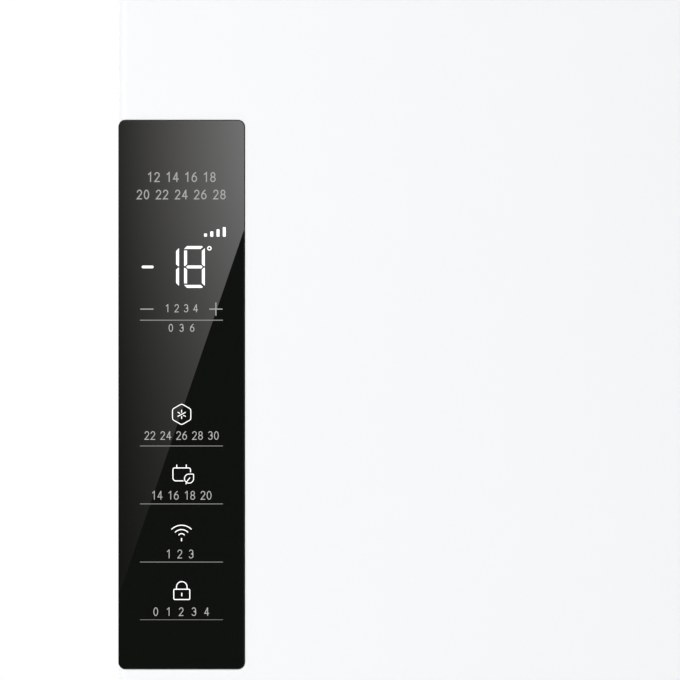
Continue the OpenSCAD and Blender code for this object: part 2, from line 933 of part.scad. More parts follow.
// Suction line, hot line to the loops, line to the drier, and the thin tube from there to the coil
module refrigerant_tubes() {
  suction_z = can_z0 + can_h / 2 - suction_drop;
  hot_z = can_z0 + hot_rise;
  line_z = loop_tail_z;
  thin_y = drier_y + drier_len + thin_run;
  thin_z = machine_z1 - thin_drop;
  last_z = coil_row_z + (coil_rows - 1) * coil_row_step;
  color("peru") {
    tube([
      [can_x + can_r, suction_y, suction_z],
      [suction_x, suction_y, suction_z],
      [suction_x, suction_y, coil_row_z],
      [coil_half_w + fin_t, suction_y, coil_row_z]
    ], tube_r, coil_bend);
    tube([
      [can_x, can_y - can_r, hot_z],
      [can_x, hot_y, hot_z],
      [hot_x, hot_y, hot_z],
      [hot_x, hot_y, line_z],
      [hot_x, loop_tail_y, line_z],
      [loop_x, loop_tail_y, line_z],
      [loop_x, loop_tail_y, loop_joint_z]
    ], tube_r, hot_bend);
    tube([
      [-loop_x, loop_tail_y, loop_joint_z],
      [-loop_x, loop_tail_y, line_z],
      [drier_x, loop_tail_y, line_z],
      [drier_x, drier_y, line_z]
    ], tube_r, hot_bend);
    tube([
      [drier_x, drier_y + drier_len, line_z],
      [drier_x, thin_y, line_z],
      [drier_x, thin_y, thin_z],
      [capillary_x, thin_y, thin_z],
      [capillary_x, capillary_y, thin_z],
      [capillary_x, capillary_y, last_z],
      [coil_half_w + fin_t, capillary_y, last_z]
    ], capillary_r, hot_bend);
  }
}

module filter_drier() {
  taper = 8;
  color("peru") translate([drier_x, drier_y, loop_tail_z]) rotate([-90, 0, 0]) rotate_extrude() polygon([
    [0, 0], [tube_r, 0], [drier_r, taper], [drier_r, drier_len - taper], [tube_r, drier_len], [0, drier_len]
  ]);
}

module pan_outline(inset) {
  half = [pan_half_w - inset, pan_half_d - inset];
  translate([can_x, can_y]) round_rect(-half, half, pan_r - inset);
}

module condensate_pan() {
  color("white") difference() {
    plate_z(pan_z0, pan_z0 + pan_h) pan_outline(0);
    plate_z(pan_z0 + pan_wall, pan_z0 + pan_h + over) pan_outline(pan_wall);
  }
}

module drain_tube() {
  z0 = pan_z0 + pan_wall + 8;
  color("gray") difference() {
    rod_z(drain_r + drain_wall, z0, step_z, 0, duct_mid_y);
    rod_z(drain_r + running_gap, z0 - over, step_z + over, 0, duct_mid_y);
  }
}

// One serpentine on the inside of each side wall, with both ends brought down to the machine space
module condenser_loops() {
  y = [for (i = [0:3]) loop_y - i * loop_step];
  color("dimgray") for (s = [-1, 1]) {
    x = s * loop_x;
    tube([
      [x, y[0], loop_tail_z],
      [x, y[0], loop_top],
      [x, y[1], loop_top],
      [x, y[1], loop_bottom],
      [x, y[2], loop_bottom],
      [x, y[2], loop_top],
      [x, y[3], loop_top],
      [x, y[3], loop_return],
      [x, loop_tail_y, loop_return],
      [x, loop_tail_y, loop_joint_z]
    ], tube_r, bend_r);
  }
}

// Finned coil: one serpentine tube through the fins, between two end plates that stand in the tray
module evaporator() {
  fin_span = 2 * coil_half_w - 20;
  y0 = duct_mid_y - coil_half_d;
  y1 = duct_mid_y + coil_half_d;
  color("silver") {
    for (i = [0:fin_count - 1]) {
      x = -fin_span / 2 + fin_span * i / (fin_count - 1);
      span([x - fin_t / 2, y0, coil_z0], [x + fin_t / 2, y1, coil_z0 + coil_h]);
    }
    for (x = [-coil_half_w, coil_half_w])
      span([x - fin_t, y0, step_z + drip_wall + seat_gap], [x + fin_t, y1, coil_z0 + coil_h]);
    for (r = [0:coil_rows - 1]) {
      z = coil_row_z + r * coil_row_step;
      for (c = [-1, 1])
        rod_x(coil_tube_r, -coil_half_w - fin_t, coil_half_w + fin_t, duct_mid_y + c * coil_col_half, z);
      tube([
        [-coil_half_w, suction_y, z],
        [-coil_end_x, suction_y, z],
        [-coil_end_x, capillary_y, z],
        [-coil_half_w, capillary_y, z]
      ], coil_tube_r, coil_bend);
    }
    for (r = [0:coil_rows - 2]) {
      y = r % 2 == 0 ? capillary_y : suction_y;
      z = coil_row_z + r * coil_row_step;
      tube([
        [coil_half_w, y, z],
        [coil_end_x, y, z],
        [coil_end_x, y, z + coil_row_step],
        [coil_half_w, y, z + coil_row_step]
      ], coil_tube_r, coil_bend);
    }
  }
}

module defrost_heater() {
  color("orange") {
    rod_x(heater_r, -heater_half, heater_half, duct_mid_y, heater_z);
    for (x = [-heater_cap_x, heater_cap_x])
      rod_x(heater_cap_r, x - heater_cap_len / 2, x + heater_cap_len / 2, duct_mid_y, heater_z);
  }
}

module drip_tray() {
  z0 = step_z + seat_gap;
  w = drip_wall;
  low = [-drip_half_w, duct_mid_y - drip_half_d, z0];
  high = [drip_half_w, duct_mid_y + drip_half_d, z0 + drip_h];
  color("lightgray") {
    difference() {
      union() {
        span(low, high);
        rod_z(drain_r, z0 - spout_len, z0 + w, 0, duct_mid_y);
      }
      span(low + [w, w, w], high + [-w, -w, over]);
      rod_z(drain_r - drip_wall, z0 - spout_len - over, z0 + w + over, 0, duct_mid_y);
      rod_z(tube_r + tube_gap, z0 - over, z0 + w + over, suction_x, suction_y);
      rod_z(capillary_r + tube_gap, z0 - over, z0 + w + over, capillary_x, capillary_y);
    }
    for (x = [-heater_cap_x, heater_cap_x]) span(
      [x - cradle_half, duct_mid_y - cradle_half, z0],
      [x + cradle_half, duct_mid_y + cradle_half, heater_z - heater_cap_r]
    );
  }
}

// Front wall of the air duct: outlet slots over each shelf and a guarded opening for the fan
module duct_cover() {
  slots = 7;
  slot_w = 40;
  slot_h = 6;
  slot_step = 54;
  opening_r = fan_r + fan_gap;
  color("whitesmoke") {
    difference() {
      plate_y(duct_y, duct_y + duct_t) intersection() {
        cavity_outline(-duct_gap);
        rect([-half_w, step_z + seat_gap], [half_w, case_z1]);
      }
      for (k = [1:SHELVES], i = [0:slots - 1], row = [0, 1]) {
        x = (i - (slots - 1) / 2) * slot_step;
        z = level(k) + pitch * 0.78 + row * 2 * slot_h;
        if (k != fan_level || abs(x) > opening_r + slot_w / 2)
          plate_y(duct_y - over, duct_y + duct_t + over)
            round_rect([x - slot_w / 2, z], [x + slot_w / 2, z + slot_h], slot_h / 2 - 0.1);
      }
      rod_y(opening_r, duct_y - over, duct_y + duct_t + over, 0, fan_z);
    }
    for (i = [1:guard_rings]) {
      r = opening_r * i / guard_rings - (i == guard_rings ? guard_bar / 2 - 0.2 : 0);
      difference() {
        rod_y(r + guard_bar / 2, duct_y, duct_y + guard_t, 0, fan_z);
        rod_y(r - guard_bar / 2, duct_y - over, duct_y + guard_t + over, 0, fan_z);
      }
    }
    bar = opening_r + over / 2;
    for (a = [0:60:120]) translate([0, 0, fan_z]) rotate([0, a + 30, 0])
      span([-bar, duct_y, -guard_bar / 2], [bar, duct_y + guard_t, guard_bar / 2]);
  }
}

// Fan motor on three arms from a ring that seats on the back of the duct cover
module fan_motor() {
  ring_r = fan_r + fan_gap + motor_ring_gap;
  y0 = duct_y + duct_t;
  motor_y = fan_y0 + fan_h + fan_clear;
  end_y = motor_y + motor_arm_t;
  color("dimgray") {
    difference() {
      rod_y(ring_r + motor_ring_t, y0, end_y, 0, fan_z);
      rod_y(ring_r, y0 - over, end_y + over, 0, fan_z);
    }
    for (a = [90:120:330]) translate([0, 0, fan_z]) rotate([0, -a, 0])
      span([motor_r - over, motor_y, -motor_arm_w / 2], [ring_r + over, end_y, motor_arm_w / 2]);
    rod_y(motor_r, motor_y, motor_y + motor_h, 0, fan_z);
    rod_y(shaft_r, fan_y0 + shaft_in, motor_y + over, 0, fan_z);
  }
}

// Cambered blades round a hub that turns on the motor's shaft
module fan_blade() {
  color("white") translate([0, fan_y0 + fan_h, fan_z]) rotate([90, 0, 0]) difference() {
    union() {
      cylinder(r = fan_hub_r, h = fan_h - 2);
      translate([0, 0, fan_h - 2]) cylinder(r1 = fan_hub_r, r2 = fan_hub_r - 4, h = 2, $fn = 48);
      for (i = [0:blades - 1]) rotate(i * 360 / blades) intersection() {
        difference() {
          cylinder(r = fan_r, h = fan_h - 1);
          cylinder(r = fan_hub_r - 2, h = fan_h);
        }
        translate([0, 0, fan_h / 2]) rotate([blade_pitch, 0, 0]) intersection() {
          translate([0, 0, -blade_bow_r]) rotate([0, 90, 0]) difference() {
            cylinder(r = blade_bow_r + blade_t / 2, h = fan_r + over);
            translate([0, 0, -over]) cylinder(r = blade_bow_r - blade_t / 2, h = fan_r + 3 * over);
          }
          span([0, -22, -fan_h], [fan_r + over, 22, fan_h]);
        }
      }
    }
    translate([0, 0, -over]) cylinder(r = shaft_r + running_gap, h = fan_h - 1);
  }
}

module lamp_lens() {
  lens_w = 110;
  lens_d = 34;
  lens_h = 7;
  lens_y = (drawer_y + duct_y) / 2;
  color("white") plate_z(ceiling_z - lens_h, ceiling_z)
    round_rect([-lens_w / 2, lens_y - lens_d / 2], [lens_w / 2, lens_y + lens_d / 2], 8);
}

function flap_top(k) = k < FLAPS ? level(SHELVES - FLAPS + k + 1) - trim_under - 2 : ceiling_z - 4;
function flap_bottom(k) = level(SHELVES - FLAPS + k) + shelf_t + trim_lip + 2;
function flap_pin_z(k) = flap_top(k) - flap_pin_drop;
flap_pin_y = drawer_y + barrel_r;

module flap_hinges() {
  socket_end_x = cavity_x - socket_w + flap_pin_in + 2;
  color("white") both_sides() for (k = [1:FLAPS]) intersection() {
    difference() {
      plate_x(cavity_x - socket_w, cavity_x) {
        translate([flap_pin_y, flap_pin_z(k)]) circle(socket_r);
        rect([flap_pin_y, flap_pin_z(k) - socket_r], [ledge_y - socket_gap, flap_pin_z(k) + socket_r]);
      }
      rod_x(flap_pin_r + running_gap, cavity_x - socket_w - over, socket_end_x, flap_pin_y, flap_pin_z(k));
    }
    plate_y(rim_y, cavity_y1) cavity_outline(0);
  }
}

// Flap door that hangs from two pins, with a finger groove along its lower edge
module flap(k) {
  half = cavity_x - socket_w - flap_end_gap;
  z0 = flap_bottom(k);
  pin_z = flap_pin_z(k);
  color([0.8, 0.88, 0.92, 0.6]) {
    plate_x(-half, half) difference() {
      union() {
        rect([drawer_y, z0], [drawer_y + flap_t, pin_z]);
        rect([drawer_y, z0], [drawer_y + flap_block_d, z0 + flap_block_h]);
        translate([flap_pin_y, pin_z]) circle(barrel_r);
      }
      translate([drawer_y, z0 + flap_block_h / 2]) circle(flap_groove_r);
    }
    rod_x(flap_pin_r, -half - flap_pin_in, half + flap_pin_in, flap_pin_y, pin_z);
  }
}

module shelf(k) {
  x = cavity_x - shelf_side_gap;
  color([0.75, 0.9, 0.88, 0.5])
    span([-x, shelf_y + bin_t, level(k)], [x, duct_y - shelf_rear_gap, level(k) + shelf_t]);
}

// Plastic channel pushed on the front edge of each shelf
module shelf_trims() {
  x = cavity_x - shelf_side_gap;
  color("white") for (k = [1:SHELVES]) plate_x(-x, x) difference() {
    round_rect([shelf_y, level(k) - trim_under], [shelf_y + trim_d, level(k) + shelf_t + trim_lip], 1.2);
    rect([shelf_y + bin_t, level(k)], [shelf_y + trim_d + over, level(k) + shelf_t]);
  }
}

// Front plate of a drawer with the block behind its finger groove
module drawer_front(face_z0, top) {
  intersection() {
    plate_x(-front_x, front_x) {
      rect([drawer_y, face_z0], [drawer_y + front_t, top]);
      rect([drawer_y, top - groove_h], [drawer_y + grip_block_d, top]);
    }
    plate_y(drawer_y - over, drawer_y + grip_block_d + over)
      round_rect([-front_x, face_z0], [front_x, top], front_r);
  }
}

// Open bin with leaning side walls, a rim and slots in its rear wall
module drawer_bin(z0, bin_top, rear) {
  half = front_x - rim_w;
  foot = half - bin_draft;
  vent_z = bin_top - vent_drop;
  difference() {
    union() {
      plate_y(drawer_y + front_t - over, rear)
        polygon([[-foot, z0], [foot, z0], [half, bin_top], [-half, bin_top]]);
      plate_y(drawer_y + front_t, rear) rect([-front_x, bin_top - rim_h], [front_x, bin_top]);
    }
    plate_y(drawer_y + front_t, rear - bin_t) polygon([
      [-foot + bin_t, z0 + bin_t], [foot - bin_t, z0 + bin_t],
      [half - bin_t, bin_top + over], [-half + bin_t, bin_top + over]
    ]);
    for (i = [0:vent_count - 1]) {
      x = (i - (vent_count - 1) / 2) * vent_w * 1.7;
      span([x - vent_w / 2, rear - bin_t - over, vent_z], [x + vent_w / 2, rear + over, vent_z + vent_h]);
    }
  }
}

// Drawer on the given seats: front and rear seat height, top of its front, top of its bin, rear face
module drawer(front_seat, rear_seat, top, bin_top, rear) {
  z0 = front_seat + bin_lift;
  color([0.82, 0.9, 0.94, 0.6]) difference() {
    union() {
      drawer_front(front_seat + front_over, top);
      drawer_bin(z0, bin_top, rear);
      for (x = [-skid_x, skid_x]) {
        end = [x, rear - bin_rear_gap, z0 + bin_t / 2];
        span([x - skid_w / 2, drawer_y + front_t, front_seat + seat_gap], end + [skid_w / 2, 0, 0]);
        span([x - skid_w, rear - 5 * skid_w, rear_seat + seat_gap], end + [skid_w, 0, 0]);
      }
    }
    rod_x(groove_r, -front_x - over, front_x + over, drawer_y, top - groove_h / 2);
  }
}

module drawer_at(k) {
  top = level(k) - trim_under - front_under;
  bin_top = level(k) - ledge_h - bin_top_gap;
  seat = k == 1 ? floor_z : level(k - 1) + shelf_t;
  lift = k == 1 ? 2 * trim_lip : trim_lip;
  back = k == 1 ? step_y : duct_y;
  drawer(seat + lift, seat, top, bin_top, back - bin_rear_gap);
}

// Door outline seen from above, with rounded front edges
module door_outline(inset, back) {
  r = door_r - inset;
  half = half_w - inset;
  y0 = door_y0 + inset;
  rect([-half, y0 + r], [half, back]);
  rect([-half + r, y0], [half - r, back]);
  for (s = [-1, 1]) translate([s * (half - r), y0 + r]) circle(r);
}

module panel_outline(grow) {
  round_rect([panel_x0 - grow, panel_z0 - grow], [panel_x1 + grow, panel_z1 + grow], panel_r + grow);
}

module panel_pocket() {
  plate_y(glass_y - over, housing_y1) panel_outline(panel_gap);
}

// Space of the finger recess, drawn in by inset: a mouth in the door's edge and a hooked inner part
module grip_space(inset, x_out) {
  mouth_x = panel_x0 + grip_mouth - inset;
  deep_x = panel_x0 + grip_depth - inset;
  plate_x(x_out, mouth_x + 2 * inset + over)
    round_rect([grip_y0 + inset, grip_z0 + inset], [grip_y1 - inset, grip_z1 - inset], grip_r - inset);
  plate_x(panel_x0 + grip_mouth + inset, deep_x)
    round_rect(
      [grip_y0 - grip_hook + inset, grip_z0 + inset],
      [grip_y1 - inset, grip_z1 - inset],
      grip_r - inset
    );
}

module door_skin() {
  color("white") difference() {
    plate_z(door_z0 + cap_lip, door_z1 - cap_lip) difference() {
      door_outline(0, door_y1);
      door_outline(sheet_t, door_y1 - sheet_t);
      rect([-half_w + lip_w, door_y1 - sheet_t - over], [half_w - lip_w, door_y1 + over]);
    }
    panel_pocket();
    plate_x(panel_x0 - over, panel_x0 + sheet_t + over)
      round_rect([grip_y0, grip_z0], [grip_y1, grip_z1], grip_r);
  }
}

// Raised field of the door's liner: a dyke round a lower middle, drawn in by inset
module door_field(y0, inset) {
  x = cavity_x - dyke_in - inset;
  z0 = floor_z + dyke_in + inset;
  z1 = ceiling_z - dyke_in - inset;
  in = dyke_w - 2 * inset;
  difference() {
    plate_y(y0, liner_flange_y + dyke_h - inset) round_rect([-x, z0], [x, z1], dyke_r - inset);
    plate_y(liner_flange_y + field_h - inset, door_y1 + dyke_h + over)
      round_rect([-x + in, z0 + in], [x - in, z1 - in], dyke_r - inset);
  }
}

module door_liner() {
  side = half_w - sheet_t;
  color("whitesmoke") difference() {
    union() {
      span([-side, foam_door_y1, door_z0 + cap_lip], [side, liner_flange_y, door_z1 - cap_lip]);
      door_field(foam_door_y1, 0);
    }
    door_field(foam_door_y1 - over, liner_t);
  }
}

module door_foam() {
  color("khaki") difference() {
    union() {
      plate_z(door_z0 + cap_h, door_z1 - cap_h) door_outline(sheet_t, foam_door_y1);
      door_field(foam_door_y1 - over, liner_t);
    }
    panel_pocket();
    grip_space(0, panel_x0);
  }
}

module door_cap(z_face, z_in) {
  low = min(z_face, z_in);
  high = max(z_face, z_in);
  up = z_in > z_face;
  difference() {
    union() {
      plate_z(up ? z_face : z_face - cap_lip, up ? z_face + cap_lip : z_face) door_outline(0, door_y1);
      plate_z(low, high) door_outline(sheet_t, foam_door_y1);
    }
    rod_z(bush_r + running_gap / 2, low - over, high + over, hinge_x, hinge_y);
  }
}

module door_cap_top() {
  color("white") door_cap(door_z1, door_z1 - cap_h);
}

module door_cap_bottom() {
  color("white") door_cap(door_z0, door_z0 + cap_h);
}

module bush(z_face, dir) {
  z_flange = z_face - dir * bush_flange_h;
  z_end = z_face + dir * bush_len;
  z_low = min(z_flange, z_end) - over;
  z_high = max(z_flange, z_end) + over;
  difference() {
    union() {
      rod_z(bush_r, min(z_face, z_end), max(z_face, z_end), hinge_x, hinge_y);
      rod_z(bush_flange_r, min(z_face, z_flange), max(z_face, z_flange), hinge_x, hinge_y);
    }
    rod_z(hinge_pin_r + running_gap, z_low, z_high, hinge_x, hinge_y);
  }
}

module hinge_bushes() {
  color("lightgray") {
    bush(door_z0, 1);
    bush(door_z1, -1);
  }
}

module gasket_frame(y0, y1, inset) {
  x = half_w - gasket_in - inset;
  z0 = door_z0 + gasket_in + inset;
  z1 = door_z1 - gasket_in - inset;
  w = gasket_w - 2 * inset;
  plate_y(y0, y1) difference() {
    rect([-x, z0], [x, z1]);
    rect([-x + w, z0 + w], [x - w, z1 - w]);
  }
}

module door_gasket() {
  y1 = case_y0 - seat_gap;
  color("lightgray") {
    gasket_frame(liner_flange_y, liner_flange_y + gasket_base, 0);
    gasket_frame(liner_flange_y, y1, gasket_waist_in);
    gasket_frame(y1 - gasket_head, y1, gasket_head_in);
  }
}

module grip_cup() {
  color("gray") difference() {
    grip_space(grip_gap, panel_x0);
    grip_space(grip_gap + grip_wall, panel_x0 - over);
  }
}

module panel_glass() {
  color("black") plate_y(glass_y, glass_back_y) panel_outline(0);
}

module panel_housing() {
  pocket_y1 = housing_y1 - housing_wall;
  board_x = [panel_x0 + board_in + 6, panel_x1 - board_in - 6];
  board_z = [panel_z0 + board_in + 8, panel_z1 - board_in - 8];
  color("black") {
    difference() {
      plate_y(glass_back_y, housing_y1) panel_outline(0);
      plate_y(glass_back_y - over, pocket_y1) panel_outline(-housing_rim / 2);
    }
    for (x = board_x, z = board_z) rod_y(post_r, pocket_y1 - post_h, pocket_y1, x, z);
  }
}

// Circuit board with a digit module and one lamp behind each symbol
module panel_board() {
  y1 = housing_y1 - housing_wall - post_h;
  y0 = y1 - board_t;
  mid_x = (panel_x0 + panel_x1) / 2;
  margin = [board_in, board_in];
  digits = [20, 13];
  lamp = [2, 2];
  lamp_h = 1.2;
  color("darkgreen") {
    plate_y(y0, y1) rect([panel_x0, panel_z0] + margin, [panel_x1, panel_z1] - margin);
    plate_y(y0 - lamp_h, y0) {
      translate([mid_x, panel_z1 - digit_drop]) rect(-digits, digits);
      for (drop = icon_drops) translate([mid_x, panel_z1 - drop]) rect(-lamp, lamp);
    }
  }
}

// Levelling foot: a disc, a six-sided nut and a threaded stem
module foot(s) {
  edge = 3;
  color("dimgray") translate([s * foot_x, foot_y, 0]) {
    rotate_extrude() intersection() {
      round_rect([-foot_r, 0], [foot_r, foot_disc_h], edge);
      rect([0, 0], [foot_r, foot_disc_h]);
    }
    cylinder(r = foot_r - edge, h = over);
    translate([0, 0, foot_disc_h]) cylinder(r = stem_r + 4, h = foot_nut_h, $fn = 6);
    translate([0, 0, foot_disc_h]) cylinder(r = stem_r, h = stem_top - foot_disc_h);
  }
}

module roller(s) {
  x = s * foot_x;
  tread = 1.5;
  color("dimgray") difference() {
    union() {
      rod_x(roller_r, x - roller_w / 2 + tread, x + roller_w / 2 - tread, roller_y, roller_r);
      rod_x(roller_r - tread, x - roller_w / 2, x + roller_w / 2, roller_y, roller_r);
    }
    rod_x(axle_r + running_gap, x - roller_w, x + roller_w, roller_y, roller_r);
  }
}

cabinet_wrap();
foam_core();
inner_liner();
back_panel();
base_pan();
front_rail();
kick_plate();
machine_tray();
machine_cover();
cable_gland();
upper_hinge_bracket();
lower_hinge_bracket();
hinge_pins();
hinge_cover();
case_screws();
compressor();
compressor_mounts();
starter_box();
refrigerant_tubes();
filter_drier();
condensate_pan();
drain_tube();
condenser_loops();
evaporator();
defrost_heater();
drip_tray();
duct_cover();
fan_motor();
lamp_lens();
flap_hinges();
for (k = [1:SHELVES]) shelf(k);
shelf_trims();
door_skin();
door_foam();
door_liner();
door_gasket();
door_cap_top();
door_cap_bottom();
hinge_bushes();
grip_cup();
panel_glass();
panel_housing();
panel_board();
fan_blade();
foot(-1);  // foot_left
foot(1);  // foot_right
roller(-1);  // roller_left
roller(1);  // roller_right
for (k = [1:DRAWERS]) drawer_at(k);
for (k = [1:FLAPS]) flap(k);
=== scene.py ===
"""Looks of the upright freezer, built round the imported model.

The script loads the model as a fixed frame and dresses it sub-assembly by sub-assembly: the display, the
door, the cabinet, the inside, the drawers, the cooling parts, the machine space and what stands on the
floor. All lengths are metres in the model's own frame, and the display's marks are drawn in millimetres
from the glass's left and top edges.
"""

import json
import logging
import math
from collections.abc import Callable, Iterable, Sequence
from dataclasses import dataclass, field
from enum import Enum

import bmesh
import bpy
from mathutils import Matrix, Vector
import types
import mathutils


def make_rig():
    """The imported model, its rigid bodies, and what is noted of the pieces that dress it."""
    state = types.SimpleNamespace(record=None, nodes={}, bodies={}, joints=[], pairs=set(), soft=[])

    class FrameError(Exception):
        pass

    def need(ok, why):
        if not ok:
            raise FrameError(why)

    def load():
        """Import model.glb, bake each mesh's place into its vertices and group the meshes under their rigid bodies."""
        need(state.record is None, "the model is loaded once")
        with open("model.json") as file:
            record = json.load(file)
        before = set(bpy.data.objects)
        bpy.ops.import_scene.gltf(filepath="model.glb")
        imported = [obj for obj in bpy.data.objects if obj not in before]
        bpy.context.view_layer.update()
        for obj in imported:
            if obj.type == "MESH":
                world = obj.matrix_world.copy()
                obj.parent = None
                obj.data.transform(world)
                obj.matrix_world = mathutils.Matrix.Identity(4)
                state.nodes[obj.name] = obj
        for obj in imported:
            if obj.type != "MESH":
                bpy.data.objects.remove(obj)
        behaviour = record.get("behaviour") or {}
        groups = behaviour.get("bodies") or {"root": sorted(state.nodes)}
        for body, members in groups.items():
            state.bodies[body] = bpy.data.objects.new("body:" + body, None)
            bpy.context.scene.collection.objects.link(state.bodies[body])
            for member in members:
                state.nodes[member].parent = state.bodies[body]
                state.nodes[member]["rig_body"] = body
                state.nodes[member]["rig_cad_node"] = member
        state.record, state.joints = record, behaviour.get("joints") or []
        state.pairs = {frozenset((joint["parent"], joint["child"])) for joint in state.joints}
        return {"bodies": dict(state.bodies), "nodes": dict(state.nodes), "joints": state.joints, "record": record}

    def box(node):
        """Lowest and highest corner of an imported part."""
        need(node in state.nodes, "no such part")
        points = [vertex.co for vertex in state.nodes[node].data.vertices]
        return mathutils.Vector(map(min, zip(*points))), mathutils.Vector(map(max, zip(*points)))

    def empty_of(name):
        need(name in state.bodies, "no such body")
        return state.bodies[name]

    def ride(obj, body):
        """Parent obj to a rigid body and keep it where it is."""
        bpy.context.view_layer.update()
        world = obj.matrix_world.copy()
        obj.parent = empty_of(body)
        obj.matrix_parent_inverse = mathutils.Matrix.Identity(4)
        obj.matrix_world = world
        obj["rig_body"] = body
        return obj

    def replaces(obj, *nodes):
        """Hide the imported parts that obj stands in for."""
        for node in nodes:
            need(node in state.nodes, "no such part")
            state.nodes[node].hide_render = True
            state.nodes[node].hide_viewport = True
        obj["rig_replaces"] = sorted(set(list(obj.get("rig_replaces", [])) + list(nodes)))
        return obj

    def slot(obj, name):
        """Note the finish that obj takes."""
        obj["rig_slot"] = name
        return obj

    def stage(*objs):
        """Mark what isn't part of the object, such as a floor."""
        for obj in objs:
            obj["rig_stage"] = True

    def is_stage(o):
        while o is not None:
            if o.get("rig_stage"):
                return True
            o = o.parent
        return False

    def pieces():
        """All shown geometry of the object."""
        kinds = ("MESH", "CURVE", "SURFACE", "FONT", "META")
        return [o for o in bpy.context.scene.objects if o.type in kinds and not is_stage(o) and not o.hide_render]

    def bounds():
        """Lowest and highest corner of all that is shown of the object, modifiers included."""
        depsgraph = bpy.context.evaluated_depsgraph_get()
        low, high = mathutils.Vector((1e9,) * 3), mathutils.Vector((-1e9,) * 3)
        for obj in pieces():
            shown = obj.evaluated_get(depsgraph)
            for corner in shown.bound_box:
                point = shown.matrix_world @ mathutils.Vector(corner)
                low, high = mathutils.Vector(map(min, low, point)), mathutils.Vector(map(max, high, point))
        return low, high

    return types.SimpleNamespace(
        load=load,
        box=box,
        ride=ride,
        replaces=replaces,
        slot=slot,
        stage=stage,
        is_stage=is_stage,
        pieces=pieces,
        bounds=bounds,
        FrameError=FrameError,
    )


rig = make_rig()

LOG = logging.getLogger("freezer")
MM = 0.001
SIZE_FILE = "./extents.json"
Colour = tuple[float, float, float, float]
Point = tuple[float, float]
Place = tuple[float, float, float]
PURE_WHITE: Colour = (1.0, 1.0, 1.0, 1.0)
BLACK: Colour = (0.0, 0.0, 0.0, 1.0)


def linear(value: float) -> float:
    """Turns a screen value from 0 to 255 into linear light."""
    part = value / 255
    return part / 12.92 if part <= 0.04045 else ((part + 0.055) / 1.055) ** 2.4


def tint(red: float, green: float, blue: float) -> Colour:
    """Colour from three screen values of 0 to 255."""
    return (linear(red), linear(green), linear(blue), 1.0)


def arc(centre: Point, radius: float, start: float, end: float, steps: int) -> list[Point]:
    """Points along an arc.

    Args:
        centre: Middle of the arc.
        radius: Its radius.
        start: First angle in degrees, anticlockwise from the first axis.
        end: Last angle in degrees.
        steps: Number of stretches between the points.

    Returns:
        The points, both ends among them.
    """
    angles = [math.radians(start + (end - start) * i / steps) for i in range(steps + 1)]
    return [(centre[0] + radius * math.cos(a), centre[1] + radius * math.sin(a)) for a in angles]


def rounded_box(low: Point, high: Point, radius: float, steps: int = 8) -> list[Point]:
    """Outline of a rectangle with round corners, anticlockwise from its lower right corner.

    Args:
        low: Its lower left corner.
        high: Its upper right corner.
        radius: Radius of its corners.
        steps: Number of stretches in each corner.

    Returns:
        The outline's points.
    """
    corners = [
        ((high[0] - radius, low[1] + radius), -90),
        ((high[0] - radius, high[1] - radius), 0),
        ((low[0] + radius, high[1] - radius), 90),
        ((low[0] + radius, low[1] + radius), 180),
    ]
    return [p for centre, start in corners for p in arc(centre, radius, start, start + 90, steps)]


class Effect(Enum):
    """Shader effects that more than one finish uses."""

    GRAIN = "fine grain"
    DRIFT = "tone drift"
    HANDLING = "handling marks"
    SPANGLE = "zinc spangle"
    BRUSHED = "brushed lines"
    DUST = "settled dust"


